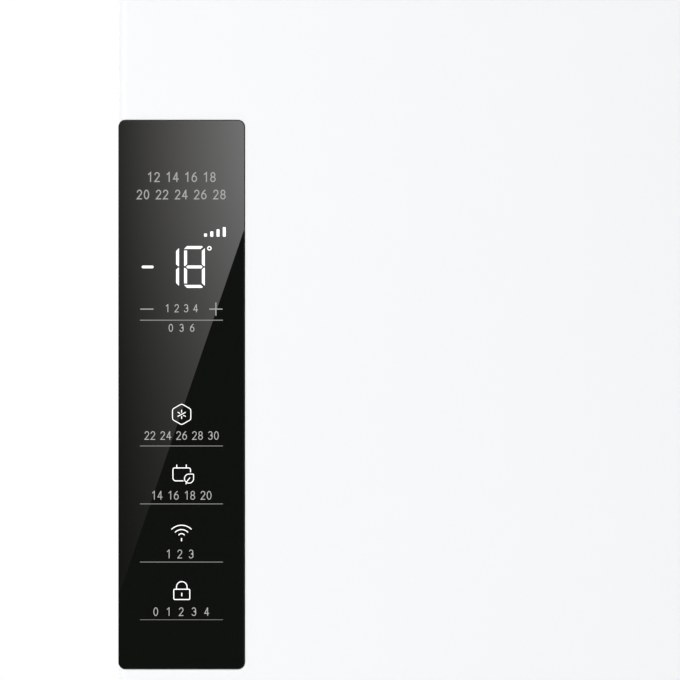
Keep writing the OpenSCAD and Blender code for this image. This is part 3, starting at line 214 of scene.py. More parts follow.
class EffectLibrary:
    """Node groups of the shared effects, each built once."""

    def __init__(self) -> None:
        """Starts with no group built."""
        self.groups: dict[Effect, bpy.types.ShaderNodeTree] = {}

    def get(self, effect: Effect) -> bpy.types.ShaderNodeTree:
        """Group of one effect, built on first use.

        Args:
            effect: Which effect.

        Returns:
            Its node tree.
        """
        if effect not in self.groups:
            builders = {
                Effect.GRAIN: self.build_grain,
                Effect.DRIFT: self.build_drift,
                Effect.HANDLING: self.build_handling,
                Effect.SPANGLE: self.build_spangle,
                Effect.BRUSHED: self.build_brushed,
                Effect.DUST: self.build_dust,
            }
            self.groups[effect] = builders[effect](bpy.data.node_groups.new(effect.value, "ShaderNodeTree"))
        return self.groups[effect]

    @staticmethod
    def open_group(
        tree: bpy.types.ShaderNodeTree, inputs: dict[str, object], outputs: dict[str, str]
    ) -> tuple[bpy.types.Node, bpy.types.Node]:
        """Adds the group's sockets and its two end nodes.

        Args:
            tree: The group.
            inputs: Name and default of each input; a tuple of four is a colour, of three a vector.
            outputs: Name and socket kind of each output.

        Returns:
            The input node and the output node.
        """
        for name, value in inputs.items():
            kind = "NodeSocketFloat"
            if isinstance(value, tuple):
                kind = "NodeSocketColor" if len(value) == 4 else "NodeSocketVector"
            socket = tree.interface.new_socket(name=name, in_out="INPUT", socket_type=kind)
            socket.default_value = value
        for name, kind in outputs.items():
            tree.interface.new_socket(name=name, in_out="OUTPUT", socket_type=kind)
        return tree.nodes.new("NodeGroupInput"), tree.nodes.new("NodeGroupOutput")

    @staticmethod
    def noise(
        tree: bpy.types.ShaderNodeTree, scale: object, detail: float, vector: object = None
    ) -> bpy.types.Node:
        """Noise over the object's own coordinates.

        Args:
            tree: The group.
            scale: Socket that gives the scale per metre, or a number.
            detail: Octaves.
            vector: Socket with other coordinates, if any.

        Returns:
            The noise node.
        """
        coords = tree.nodes.new("ShaderNodeTexCoord")
        node = tree.nodes.new("ShaderNodeTexNoise")
        node.inputs["Detail"].default_value = detail
        tree.links.new(vector or coords.outputs["Object"], node.inputs["Vector"])
        if isinstance(scale, bpy.types.NodeSocket):
            tree.links.new(scale, node.inputs["Scale"])
        else:
            node.inputs["Scale"].default_value = scale
        return node

    @staticmethod
    def ramp(tree: bpy.types.ShaderNodeTree, source: object, low: float, high: float) -> bpy.types.Node:
        """Stretches a value between low and high to 0 to 1.

        Args:
            tree: The group.
            source: Socket with the value.
            low: What becomes 0.
            high: What becomes 1.

        Returns:
            The node that does it.
        """
        node = tree.nodes.new("ShaderNodeMapRange")
        node.inputs["From Min"].default_value = low
        node.inputs["From Max"].default_value = high
        tree.links.new(source, node.inputs["Value"])
        return node

    @staticmethod
    def math_node(tree: bpy.types.ShaderNodeTree, kind: str, first: object, second: object) -> bpy.types.Node:
        """Math node on two sockets or numbers.

        Args:
            tree: The tree.
            kind: The node's operation.
            first: Its first input.
            second: Its second input.

        Returns:
            The math node.
        """
        node = tree.nodes.new("ShaderNodeMath")
        node.operation = kind
        for i, value in enumerate((first, second)):
            if isinstance(value, bpy.types.NodeSocket):
                tree.links.new(value, node.inputs[i])
            else:
                node.inputs[i].default_value = value
        return node

    @staticmethod
    def scaled_colour(tree: bpy.types.ShaderNodeTree, colour: object, share: object) -> bpy.types.Node:
        """Colour times a value.

        Args:
            tree: The tree.
            colour: Socket with the colour.
            share: Socket with the value.

        Returns:
            The node that does it.
        """
        node = tree.nodes.new("ShaderNodeVectorMath")
        node.operation = "SCALE"
        tree.links.new(colour, node.inputs[0])
        tree.links.new(share, node.inputs["Scale"])
        return node

    def build_grain(self, tree: bpy.types.ShaderNodeTree) -> bpy.types.ShaderNodeTree:
        """Fine height of a sprayed or moulded surface: a soft wave under a finer one.

        Args:
            tree: The empty group.

        Returns:
            The group, filled.
        """
        finer, fine_share = 4.3, 0.35
        ends = self.open_group(tree, {"Scale": 400.0}, {"Height": "NodeSocketFloat"})
        scale = ends[0].outputs["Scale"]
        wave = self.noise(tree, scale, 1.0)
        fine = self.noise(tree, self.math_node(tree, "MULTIPLY", scale, finer).outputs[0], 2.0)
        part = self.math_node(tree, "MULTIPLY", fine.outputs["Fac"], fine_share)
        total = self.math_node(tree, "ADD", wave.outputs["Fac"], part.outputs[0])
        tree.links.new(total.outputs[0], ends[1].inputs["Height"])
        return tree

    def build_drift(self, tree: bpy.types.ShaderNodeTree) -> bpy.types.ShaderNodeTree:
        """Slow change of a colour's lightness across a piece.

        Args:
            tree: The empty group.

        Returns:
            The group, filled.
        """
        inputs = {"Colour": (1.0, 1.0, 1.0, 1.0), "Amount": 0.03, "Scale": 6.0}
        ends = self.open_group(tree, inputs, {"Colour": "NodeSocketColor"})
        slow = self.noise(tree, ends[0].outputs["Scale"], 2.0)
        part = self.ramp(tree, slow.outputs["Fac"], 0.3, 0.7)
        loss = self.math_node(tree, "MULTIPLY", part.outputs[0], ends[0].outputs["Amount"])
        share = self.math_node(tree, "SUBTRACT", 1.0, loss.outputs[0])
        shade = self.scaled_colour(tree, ends[0].outputs["Colour"], share.outputs[0])
        tree.links.new(shade.outputs[0], ends[1].inputs["Colour"])
        return tree

    def build_handling(self, tree: bpy.types.ShaderNodeTree) -> bpy.types.ShaderNodeTree:
        """Roughness that rises a little where a surface was wiped and touched.

        Args:
            tree: The empty group.

        Returns:
            The group, filled.
        """
        inputs = {"Roughness": 0.4, "Amount": 0.05, "Scale": 14.0}
        ends = self.open_group(tree, inputs, {"Roughness": "NodeSocketFloat"})
        wiped = self.noise(tree, ends[0].outputs["Scale"], 4.0)
        part = self.ramp(tree, wiped.outputs["Fac"], 0.4, 0.75)
        rise = self.math_node(tree, "MULTIPLY", part.outputs[0], ends[0].outputs["Amount"])
        total = self.math_node(tree, "ADD", ends[0].outputs["Roughness"], rise.outputs[0])
        tree.links.new(total.outputs[0], ends[1].inputs["Roughness"])
        return tree

    def build_spangle(self, tree: bpy.types.ShaderNodeTree) -> bpy.types.ShaderNodeTree:
        """Crystals of hot-dipped zinc: each cell has its own lightness and tilt.

        Args:
            tree: The empty group.

        Returns:
            The group, filled.
        """
        roughest_cells, smoothest = 0.16, 0.34
        inputs = {"Colour": (0.5, 0.5, 0.5, 1.0), "Contrast": 0.25, "Scale": 90.0}
        outputs = {"Colour": "NodeSocketColor", "Roughness": "NodeSocketFloat"}
        ends = self.open_group(tree, inputs, outputs)
        coords = tree.nodes.new("ShaderNodeTexCoord")
        cells = tree.nodes.new("ShaderNodeTexVoronoi")
        tree.links.new(coords.outputs["Object"], cells.inputs["Vector"])
        tree.links.new(ends[0].outputs["Scale"], cells.inputs["Scale"])
        split = tree.nodes.new("ShaderNodeSeparateColor")
        tree.links.new(cells.outputs["Color"], split.inputs[0])
        loss = self.math_node(tree, "MULTIPLY", split.outputs[0], ends[0].outputs["Contrast"])
        share = self.math_node(tree, "SUBTRACT", 1.0, loss.outputs[0])
        shade = self.scaled_colour(tree, ends[0].outputs["Colour"], share.outputs[0])
        tree.links.new(shade.outputs[0], ends[1].inputs["Colour"])
        rough = self.math_node(tree, "MULTIPLY", split.outputs[1], roughest_cells)
        total = self.math_node(tree, "ADD", rough.outputs[0], smoothest)
        tree.links.new(total.outputs[0], ends[1].inputs["Roughness"])
        return tree

    def build_brushed(self, tree: bpy.types.ShaderNodeTree) -> bpy.types.ShaderNodeTree:
        """Height of fine drawn lines, stretched along one axis by the input.

        Args:
            tree: The empty group.

        Returns:
            The group, filled.
        """
        ends = self.open_group(tree, {"Stretch": (900.0, 900.0, 20.0)}, {"Height": "NodeSocketFloat"})
        coords = tree.nodes.new("ShaderNodeTexCoord")
        scaled = tree.nodes.new("ShaderNodeVectorMath")
        scaled.operation = "MULTIPLY"
        tree.links.new(coords.outputs["Object"], scaled.inputs[0])
        tree.links.new(ends[0].outputs["Stretch"], scaled.inputs[1])
        lines = self.noise(tree, 1.0, 3.0, scaled.outputs[0])
        tree.links.new(lines.outputs["Fac"], ends[1].inputs["Height"])
        return tree

    def build_dust(self, tree: bpy.types.ShaderNodeTree) -> bpy.types.ShaderNodeTree:
        """Colour that greys where dust lies on faces that look up.

        Args:
            tree: The empty group.

        Returns:
            The group, filled.
        """
        inputs = {"Colour": (0.1, 0.1, 0.1, 1.0), "Dust": (0.4, 0.38, 0.35, 1.0), "Amount": 0.3}
        ends = self.open_group(tree, inputs, {"Colour": "NodeSocketColor"})
        shape = tree.nodes.new("ShaderNodeNewGeometry")
        split = tree.nodes.new("ShaderNodeSeparateXYZ")
        tree.links.new(shape.outputs["Normal"], split.inputs[0])
        steepest, patch_scale = 0.3, 60.0
        up = self.ramp(tree, split.outputs["Z"], steepest, 1.0)
        patches = self.ramp(tree, self.noise(tree, patch_scale, 5.0).outputs["Fac"], 0.35, 0.7)
        both = self.math_node(tree, "MULTIPLY", up.outputs[0], patches.outputs[0])
        share = self.math_node(tree, "MULTIPLY", both.outputs[0], ends[0].outputs["Amount"])
        mix = tree.nodes.new("ShaderNodeMix")
        mix.data_type = "RGBA"
        tree.links.new(share.outputs[0], mix.inputs[0])
        tree.links.new(ends[0].outputs["Colour"], mix.inputs[6])
        tree.links.new(ends[0].outputs["Dust"], mix.inputs[7])
        tree.links.new(mix.outputs[2], ends[1].inputs["Colour"])
        return tree


EFFECTS = EffectLibrary()


class Graph:
    """One material's node tree, with short calls for the nodes that the finishes share."""

    def __init__(self, name: str) -> None:
        """Makes the material and its Principled shader.

        Args:
            name: Name of the material.
        """
        self.material = bpy.data.materials.new(name)
        self.material.use_nodes = True
        self.tree = self.material.node_tree
        self.tree.nodes.clear()
        self.output = self.tree.nodes.new("ShaderNodeOutputMaterial")
        self.shader = self.tree.nodes.new("ShaderNodeBsdfPrincipled")
        self.tree.links.new(self.shader.outputs[0], self.output.inputs["Surface"])

    def effect(self, effect: Effect, **values: object) -> bpy.types.Node:
        """Places a shared group.

        Args:
            effect: Which one.
            **values: Its inputs, numbers or sockets.

        Returns:
            The group's node.
        """
        node = self.tree.nodes.new("ShaderNodeGroup")
        node.node_tree = EFFECTS.get(effect)
        for name, value in values.items():
            if isinstance(value, bpy.types.NodeSocket):
                self.tree.links.new(value, node.inputs[name])
            else:
                node.inputs[name].default_value = value
        return node

    def set(self, **values: object) -> None:
        """Sets the shader's own sockets; an underscore stands for a space in a socket's name."""
        for name, value in values.items():
            self.shader.inputs[name.replace("_", " ")].default_value = value

    def drive(self, socket: str, source: bpy.types.NodeSocket) -> None:
        """Links a value that changes over the surface to one of the shader's sockets."""
        self.tree.links.new(source, self.shader.inputs[socket])

    def raise_surface(self, height: bpy.types.NodeSocket, depth: float, strength: float = 1.0) -> None:
        """Bends the normal by a height.

        Args:
            height: Socket with the height, 0 to 1.
            depth: Real depth of a height of 1.
            strength: Share of the effect.
        """
        bump = self.tree.nodes.new("ShaderNodeBump")
        bump.inputs["Distance"].default_value = depth
        bump.inputs["Strength"].default_value = strength
        self.tree.links.new(height, bump.inputs["Height"])
        self.tree.links.new(bump.outputs[0], self.shader.inputs["Normal"])


class Finish:
    """A finish that is made into a material once and then shared.

    Attributes:
        cache: The materials made so far, by the name of their finish.
        name: Name of the finish.
    """

    cache: dict[str, bpy.types.Material] = {}
    name: str

    def material(self) -> bpy.types.Material:
        """The finish's material, made on first use.

        Returns:
            The material.
        """
        if self.name not in Finish.cache:
            Finish.cache[self.name] = self.build()
        return Finish.cache[self.name]

    def build(self) -> bpy.types.Material:
        """Makes the material."""
        raise NotImplementedError


@dataclass(frozen=True)
class SolidFinish(Finish):
    """Opaque paint, plastic, rubber or plain metal with a fine surface and slow changes of tone.

    Attributes:
        name: Name of the finish.
        colour: Its colour.
        roughness: Lowest roughness.
        metallic: 0 for paint and plastic, 1 for metal.
        grain: Scale of the fine height, per metre.
        depth: Depth of that height in metres.
        drift: Share by which the lightness changes.
        touched: Rise of the roughness where the piece was handled.
        dust: Share of dust on faces that look up.
    """

    name: str
    colour: Colour
    roughness: float
    metallic: float = 0.0
    grain: float = 500.0
    depth: float = 0.00002
    drift: float = 0.03
    touched: float = 0.05
    dust: float = 0.0

    def build(self) -> bpy.types.Material:
        """Makes the material.

        Returns:
            The new material.
        """
        graph = Graph(self.name)
        graph.set(Metallic=self.metallic)
        colour = graph.effect(Effect.DRIFT, Colour=self.colour, Amount=self.drift).outputs["Colour"]
        if self.dust:
            colour = graph.effect(Effect.DUST, Colour=colour, Amount=self.dust).outputs["Colour"]
        graph.drive("Base Color", colour)
        rough = graph.effect(Effect.HANDLING, Roughness=self.roughness, Amount=self.touched)
        graph.drive("Roughness", rough.outputs["Roughness"])
        graph.raise_surface(graph.effect(Effect.GRAIN, Scale=self.grain).outputs["Height"], self.depth)
        return graph.material


@dataclass(frozen=True)
class ZincFinish(Finish):
    """Galvanised sheet with its crystals.

    Attributes:
        name: Name of the finish.
        colour: Lightest colour of the crystals.
        metallic: Below 1, since the zinc has dulled.
        contrast: Share by which the darkest crystal is darker.
        cells: Scale of the crystals, per metre.
        grain: Scale of the fine height, per metre.
        depth: Depth of that height in metres.
        dust: Share of dust on faces that look up.
    """

    name: str = "galvanised steel"
    colour: Colour = (0.56, 0.575, 0.585, 1.0)
    metallic: float = 0.9
    contrast: float = 0.3
    cells: float = 110.0
    grain: float = 260.0
    depth: float = 0.00004
    dust: float = 0.25

    def build(self) -> bpy.types.Material:
        """Makes the material.

        Returns:
            The new material.
        """
        graph = Graph(self.name)
        graph.set(Metallic=self.metallic)
        zinc = graph.effect(Effect.SPANGLE, Colour=self.colour, Contrast=self.contrast, Scale=self.cells)
        dusty = graph.effect(Effect.DUST, Colour=zinc.outputs["Colour"], Amount=self.dust)
        graph.drive("Base Color", dusty.outputs["Colour"])
        graph.drive("Roughness", zinc.outputs["Roughness"])
        graph.raise_surface(graph.effect(Effect.GRAIN, Scale=self.grain).outputs["Height"], self.depth)
        return graph.material


@dataclass(frozen=True)
class DrawnFinish(Finish):
    """Turned or drawn metal with lines along one axis.

    Attributes:
        name: Name of the finish.
        colour: Its colour.
        roughness: Lowest roughness.
        stretch: Scale of the lines along each axis, per metre.
        stain: Share by which stains darken the metal.
        stain_scale: Scale of the stains, per metre.
        touched: Rise of the roughness where the piece was handled.
        depth: Depth of the lines in metres.
    """

    name: str
    colour: Colour
    roughness: float = 0.28
    stretch: tuple[float, float, float] = (1800.0, 1800.0, 60.0)
    stain: float = 0.12
    stain_scale: float = 30.0
    touched: float = 0.15
    depth: float = 0.00001

    def build(self) -> bpy.types.Material:
        """Makes the material.

        Returns:
            The new material.
        """
        graph = Graph(self.name)
        graph.set(Metallic=1.0)
        colour = graph.effect(Effect.DRIFT, Colour=self.colour, Amount=self.stain, Scale=self.stain_scale)
        graph.drive("Base Color", colour.outputs["Colour"])
        rough = graph.effect(Effect.HANDLING, Roughness=self.roughness, Amount=self.touched, Scale=40.0)
        graph.drive("Roughness", rough.outputs["Roughness"])
        graph.raise_surface(graph.effect(Effect.BRUSHED, Stretch=self.stretch).outputs["Height"], self.depth)
        return graph.material


@dataclass(frozen=True)
class ClearFinish(Finish):
    """Clear plastic or glass, tinted by its own colour, whose shadow lets most of the light through.

    Attributes:
        name: Name of the finish.
        colour: Tint of the light that passes.
        roughness: Lowest roughness.
        ior: Index of refraction.
        transmission: Share of the light that isn't scattered by the surface.
        shade: Share of the light that its shadow takes.
        waves: Scale of its slow waves, per metre.
        depth: Depth of those waves in metres.
    """

    name: str
    colour: Colour
    roughness: float
    ior: float
    transmission: float
    shade: float = 0.15
    waves: float = 160.0
    depth: float = 0.00001

    def build(self) -> bpy.types.Material:
        """Makes the material.

        Returns:
            The new material.
        """
        graph = Graph(self.name)
        graph.set(Metallic=0.0, IOR=self.ior, Transmission_Weight=self.transmission)
        colour = graph.effect(Effect.DRIFT, Colour=self.colour, Amount=0.02)
        graph.drive("Base Color", colour.outputs["Colour"])
        rough = graph.effect(Effect.HANDLING, Roughness=self.roughness, Amount=0.06, Scale=9.0)
        graph.drive("Roughness", rough.outputs["Roughness"])
        graph.raise_surface(graph.effect(Effect.GRAIN, Scale=self.waves).outputs["Height"], self.depth)
        path = graph.tree.nodes.new("ShaderNodeLightPath")
        calc = EffectLibrary.math_node
        passed = calc(graph.tree, "MULTIPLY", path.outputs["Is Shadow Ray"], 1.0 - self.shade)
        graph.drive("Alpha", calc(graph.tree, "SUBTRACT", 1.0, passed.outputs[0]).outputs[0])
        return graph.material


@dataclass(frozen=True)
class DisplayGlassFinish(Finish):
    """Black-backed glass, polished and almost free of marks.

    Attributes:
        name: Name of the finish.
        colour: Colour of the backing.
        ior: Index of refraction.
        roughness: Lowest roughness.
        touched: Rise of the roughness where fingers wiped it.
    """

    name: str = "display glass"
    colour: Colour = (0.0046, 0.0056, 0.0042, 1.0)
    ior: float = 1.5
    roughness: float = 0.002
    touched: float = 0.008

    def build(self) -> bpy.types.Material:
        """Makes the material.

        Returns:
            The new material.
        """
        graph = Graph(self.name)
        graph.set(Metallic=0.0, IOR=self.ior)
        colour = graph.effect(Effect.DRIFT, Colour=self.colour, Amount=0.05)
        graph.drive("Base Color", colour.outputs["Colour"])
        rough = graph.effect(Effect.HANDLING, Roughness=self.roughness, Amount=self.touched, Scale=24.0)
        graph.drive("Roughness", rough.outputs["Roughness"])
        return graph.material


@dataclass(frozen=True)
class LitFinish(Finish):
    """Mark that light shines through: its own light on a dark ground.

    Attributes:
        name: Name of the finish.
        light: Colour of its light.
        strength: Strength of its light.
        ground: Colour of the mark when it isn't lit.
    """

    name: str
    light: Colour
    strength: float = 1.0
    ground: Colour = (0.01, 0.01, 0.01, 1.0)

    def build(self) -> bpy.types.Material:
        """Makes the material.

        Returns:
            The new material.
        """
        graph = Graph(self.name)
        graph.set(Base_Color=self.ground, Roughness=0.5, Emission_Strength=self.strength)
        light = graph.effect(Effect.DRIFT, Colour=self.light, Amount=0.04, Scale=220.0)
        graph.drive("Emission Color", light.outputs["Colour"])
        return graph.material


@dataclass(frozen=True)
class FoamFinish(Finish):
    """Cut face of rigid foam with its small cells.

    Attributes:
        name: Name of the finish.
        colour: Lightest colour of the cells.
        roughness: Its roughness.
        contrast: Share by which the darkest cell is darker.
        depth: Depth of the cells in metres.
    """

    name: str = "rigid foam"
    colour: Colour = (0.72, 0.58, 0.30, 1.0)
    roughness: float = 0.9
    contrast: float = 0.2
    depth: float = 0.0003

    def build(self) -> bpy.types.Material:
        """Makes the material.

        Returns:
            The new material.
        """
        graph = Graph(self.name)
        graph.set(Roughness=self.roughness)
        cells = graph.effect(Effect.SPANGLE, Colour=self.colour, Contrast=self.contrast, Scale=1400.0)
        graph.drive("Base Color", cells.outputs["Colour"])
        graph.raise_surface(graph.effect(Effect.GRAIN, Scale=1200.0).outputs["Height"], self.depth)
        return graph.material


@dataclass(frozen=True)
class BoardFinish(Finish):
    """Lacquered circuit board with fine tracks.

    Attributes:
        name: Name of the finish.
        colour: Colour of the lacquer.
        roughness: Its roughness.
        contrast: Share by which the darkest field is darker.
        tracks: Scale of the tracks along each axis, per metre.
        depth: Height of the tracks in metres.
    """

    name: str = "circuit board"
    colour: Colour = (0.01, 0.11, 0.05, 1.0)
    roughness: float = 0.35
    contrast: float = 0.5
    tracks: tuple[float, float, float] = (700.0, 1.0, 45.0)
    depth: float = 0.00006

    def build(self) -> bpy.types.Material:
        """Makes the material.

        Returns:
            The new material.
        """
        graph = Graph(self.name)
        graph.set(Roughness=self.roughness)
        tracks = graph.effect(Effect.BRUSHED, Stretch=self.tracks)
        colour = graph.effect(Effect.SPANGLE, Colour=self.colour, Contrast=self.contrast, Scale=420.0)
        graph.drive("Base Color", colour.outputs["Colour"])
        graph.raise_surface(tracks.outputs["Height"], self.depth)
        return graph.material


WHITE_PAINT = SolidFinish(
    "white paint", tint(249, 250, 251.5), 0.34, grain=330.0, depth=0.000006, drift=0.006
)
CABINET_PAINT = SolidFinish(
    "cabinet paint", tint(246, 246, 246), 0.38, grain=330.0, depth=0.00001, drift=0.01
)
WHITE_TRIM = SolidFinish(
    "white moulding", tint(244, 244, 243), 0.42, grain=900.0, depth=0.00002, drift=0.01
)
LINER = SolidFinish("liner plastic", tint(246, 247, 247), 0.3, grain=220.0, depth=0.00001, drift=0.012)
VINYL = SolidFinish("gasket vinyl", tint(214, 216, 218), 0.55, grain=1200.0, depth=0.00002, drift=0.04)
GRIP_GREY = SolidFinish("grip plastic", tint(120, 122, 124), 0.5, grain=1600.0, depth=0.00006)
DARK_PLASTIC = SolidFinish("dark plastic", tint(46, 46, 48), 0.5, grain=1200.0, depth=0.00004, dust=0.2)
GREY_PLASTIC = SolidFinish("grey plastic", tint(168, 170, 172), 0.45, grain=1000.0, depth=0.00003)
BLACK_SHELL = SolidFinish("black enamel", tint(22, 22, 23), 0.3, grain=300.0, depth=0.00003, dust=0.4)
RUBBER = SolidFinish("black rubber", tint(30, 30, 30), 0.72, grain=900.0, depth=0.00005, dust=0.35)
STEEL = DrawnFinish("bright steel", (0.6, 0.6, 0.61, 1.0))
COPPER = DrawnFinish("copper tube", (0.83, 0.42, 0.27, 1.0), 0.3, stain=0.35)
ALUMINIUM = DrawnFinish("fin aluminium", (0.82, 0.83, 0.85, 1.0), 0.33, (60.0, 1500.0, 1500.0), 0.05)
COATED_TUBE = SolidFinish("coated tube", tint(96, 98, 100), 0.45, metallic=0.7)
HEATER = DrawnFinish("heater tube", (0.5, 0.46, 0.42, 1.0), 0.42, stain=0.3)
ZINC = ZincFinish()
FOAM = FoamFinish()
BOARD = BoardFinish()
HOUSING = SolidFinish("housing plastic", tint(18, 18, 19), 0.6, grain=1100.0, depth=0.00003)
CLEAR_BIN = ClearFinish("clear bin plastic", (0.93, 0.97, 0.99, 1.0), 0.04, 1.49, 0.86)
SHELF_GLASS = ClearFinish("shelf glass", (0.78, 0.93, 0.88, 1.0), 0.02, 1.5, 0.96)
LAMP = ClearFinish("lamp diffuser", (0.93, 0.94, 0.95, 1.0), 0.5, 1.49, 0.35)
DISPLAY_GLASS = DisplayGlassFinish()
WHITE_LIGHT = LitFinish("white light", PURE_WHITE, 1.3)
GREY_LIGHT = LitFinish("grey light", tint(188, 188, 186))
MUTED_LIGHT = LitFinish("muted light", tint(166, 166, 165))
FAINT_LIGHT = LitFinish("faint light", tint(138, 138, 137))


class Shape:
    """A mesh under construction, in metres in the model's frame."""

    def __init__(self, name: str) -> None:
        """Starts an empty mesh.

        Args:
            name: Name of the piece.
        """
        self.name = name
        self.mesh = bmesh.new()

    def slab(self, outline: Sequence[Vector], depth: Vector) -> None:
        """Adds a closed slab: an outline and its copy, with walls between.

        Args:
            outline: Points of the front.
            depth: From the front to the back.
        """
        front = [self.mesh.verts.new(p) for p in outline]
        back = [self.mesh.verts.new(p + depth) for p in outline]
        self.mesh.faces.new(front)
        self.mesh.faces.new(back[::-1])
        for i, vert in enumerate(front):
            k = (i + 1) % len(front)
            self.mesh.faces.new((vert, back[i], back[k], front[k]))

    def ring_slab(self, outer: Sequence[Vector], inner: Sequence[Vector], depth: Vector) -> None:
        """Adds a closed frame between two outlines.

        Args:
            outer: Points round the front's outside.
            inner: As many points round its opening.
            depth: From the front to the back.
        """
        loops = [
            [self.mesh.verts.new(p) for p in outer],
            [self.mesh.verts.new(p) for p in inner],
            [self.mesh.verts.new(p + depth) for p in inner],
            [self.mesh.verts.new(p + depth) for p in outer],
        ]
        self.join_loops(loops, True)

    def join_loops(self, loops: Sequence[Sequence[bmesh.types.BMVert]], around: bool) -> None:
        """Joins rings of points with four-sided faces.

        Args:
            loops: Rings with the same number of points.
            around: Whether the last ring also meets the first.
        """
        pairs = list(zip(loops, loops[1:]))
        if around:
            pairs.append((loops[-1], loops[0]))
        for first, second in pairs:
            for i in range(len(first)):
                k = (i + 1) % len(first)
                self.mesh.faces.new((first[i], first[k], second[k], second[i]))

    def turned(self, profile: Sequence[Point], place: Matrix, steps: int = 48) -> None:
        """Adds a turned solid.

        Args:
            profile: Points of radius and height, from the axis at the bottom to the axis at the top.
            place: Where its own axis, Z, lies.
            steps: Number of facets round it.
        """
        loops = []
        for radius, height in profile[1:-1]:
            ring = [(radius * math.cos(a), radius * math.sin(a), height) for a in circle_angles(steps)]
            loops.append([self.mesh.verts.new(place @ Vector(p)) for p in ring])
        self.join_loops(loops, False)
        self.close_end(loops[0], place @ Vector((0, 0, profile[0][1])), True)
        self.close_end(loops[-1], place @ Vector((0, 0, profile[-1][1])), False)

    def close_end(self, ring: Sequence[bmesh.types.BMVert], tip: Vector, flip: bool) -> None:
        """Closes a ring with a fan round a point on the axis.

        Args:
            ring: The ring's points.
            tip: The point on the axis.
            flip: Whether the fan turns the other way.
        """
        centre = self.mesh.verts.new(tip)
        for i, vert in enumerate(ring):
            nxt = ring[(i + 1) % len(ring)]
            self.mesh.faces.new((centre, nxt, vert) if flip else (centre, vert, nxt))

    def build(self, body: str, finish: Finish, sharp: float = 32.0) -> bpy.types.Object:
        """Turns the mesh into a piece that rides on a body.

        Args:
            body: The CAD body.
            finish: Its finish.
            sharp: Angle in degrees above which an edge stays sharp.

        Returns:
            The new object.
        """
        bmesh.ops.recalc_face_normals(self.mesh, faces=self.mesh.faces)
        data = bpy.data.meshes.new(self.name)
        self.mesh.to_mesh(data)
        self.mesh.free()
        data.materials.append(finish.material())
        data.shade_smooth()
        data.set_sharp_from_angle(angle=math.radians(sharp))
        piece = bpy.data.objects.new(self.name, data)
        bpy.context.scene.collection.objects.link(piece)
        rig.ride(piece, body)
        LOG.info("built %s on %s", self.name, body)
        return piece


def circle_angles(steps: int) -> list[float]:
    """Angles of a full turn in equal steps, in radians."""
    return [2 * math.pi * i / steps for i in range(steps)]


@dataclass
class Model:
    """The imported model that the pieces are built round.

    Attributes:
        frame: What the model's loader gives.
        weld: Distance below which two points are one.
        sharp_edge: Angle above which an edge is eased.
        flat: Angle up to which two faces count as one.
        smooth_below: Angle in degrees up to which an eased piece's edges are shaded smooth.
    """

    frame: dict = field(default_factory=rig.load)
    weld: float = 0.002 * MM
    sharp_edge: float = math.radians(28)
    flat: float = math.radians(0.4)
    smooth_below: float = 40.0

    def __post_init__(self) -> None:
        """Notes which body each node rides on and the whole model's box."""
        bodies = self.frame["record"]["behaviour"]["bodies"]
        self.body_of = {node: body for body, nodes in bodies.items() for node in nodes}
        self.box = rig.bounds()

    def dress(self, finish: Finish, *nodes: str) -> None:
        """Gives carried-over nodes their finish.

        Args:
            finish: The finish.
            *nodes: Names of the nodes.
        """
        for node in nodes:
            data = self.frame["nodes"][node].data
            data.materials.clear()
            data.materials.append(finish.material())
            LOG.info("dressed %s", node)

    def welded(self, node: str) -> bmesh.types.BMesh:
        """Copy of a node's mesh with shared points and plain faces joined.

        Args:
            node: Name of the node.

        Returns:
            The copy, which the caller frees.
        """
        mesh = bmesh.new()
        mesh.from_mesh(self.frame["nodes"][node].data)
        bmesh.ops.remove_doubles(mesh, verts=mesh.verts, dist=self.weld)
        bmesh.ops.dissolve_limit(mesh, angle_limit=self.flat, verts=mesh.verts, edges=mesh.edges)
        return mesh

    def softened(
        self,
        node: str,
        finish: Finish,
        width: float,
        segments: int = 2,
        least: float = 0.0,
        held: bool = False,
        spared: Callable[[Vector], bool] | None = None,
    ) -> None:
        """Puts a copy with eased edges in a node's place.

        Args:
            node: Name of the node.
            finish: Its finish.
            width: Width of the eased edge.
            segments: Number of facets across it.
            least: Length below which an edge stays as it is.
            held: Whether the width shrinks to what the closest edges leave room for.
            spared: Tells whether a point lies where the edges stay as they are.
        """
        shape = Shape(node + "_eased")
        shape.mesh.free()
        shape.mesh = mesh = self.welded(node)
        hard = [e for e in mesh.edges if e.calc_face_angle(0.0) > self.sharp_edge]
        hard = [e for e in hard if e.calc_length() >= least]
        if spared:
            hard = [e for e in hard if not any(spared(v.co) for v in e.verts)]
        bmesh.ops.bevel(
            mesh, geom=hard, offset=width, segments=segments, profile=0.5, affect="EDGES", clamp_overlap=held
        )
        bmesh.ops.remove_doubles(mesh, verts=mesh.verts, dist=self.weld)
        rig.replaces(shape.build(self.body_of[node], finish, self.smooth_below), node)

    def islands(self, node: str) -> list[tuple[Vector, Vector]]:
        """Boxes of a node's separate solids.

        Args:
            node: Name of the node.

        Returns:
            The lowest and the highest corner of each, from the lowest solid upwards.
        """
        mesh = self.welded(node)
        left = set(mesh.verts)
        boxes = []
        while left:
            found = {left.pop()}
            edge = list(found)
            while edge:
                nxt = {e.other_vert(v) for v in edge for e in v.link_edges} - found
                found |= nxt
                edge = list(nxt)
            left -= found
            low = Vector(min(v.co[i] for v in found) for i in range(3))
            high = Vector(max(v.co[i] for v in found) for i in range(3))
            boxes.append((low, high))
        mesh.free()
        return sorted(boxes, key=lambda b: (round(b[0].z, 4), round(b[0].y, 4), round(b[0].x, 4)))


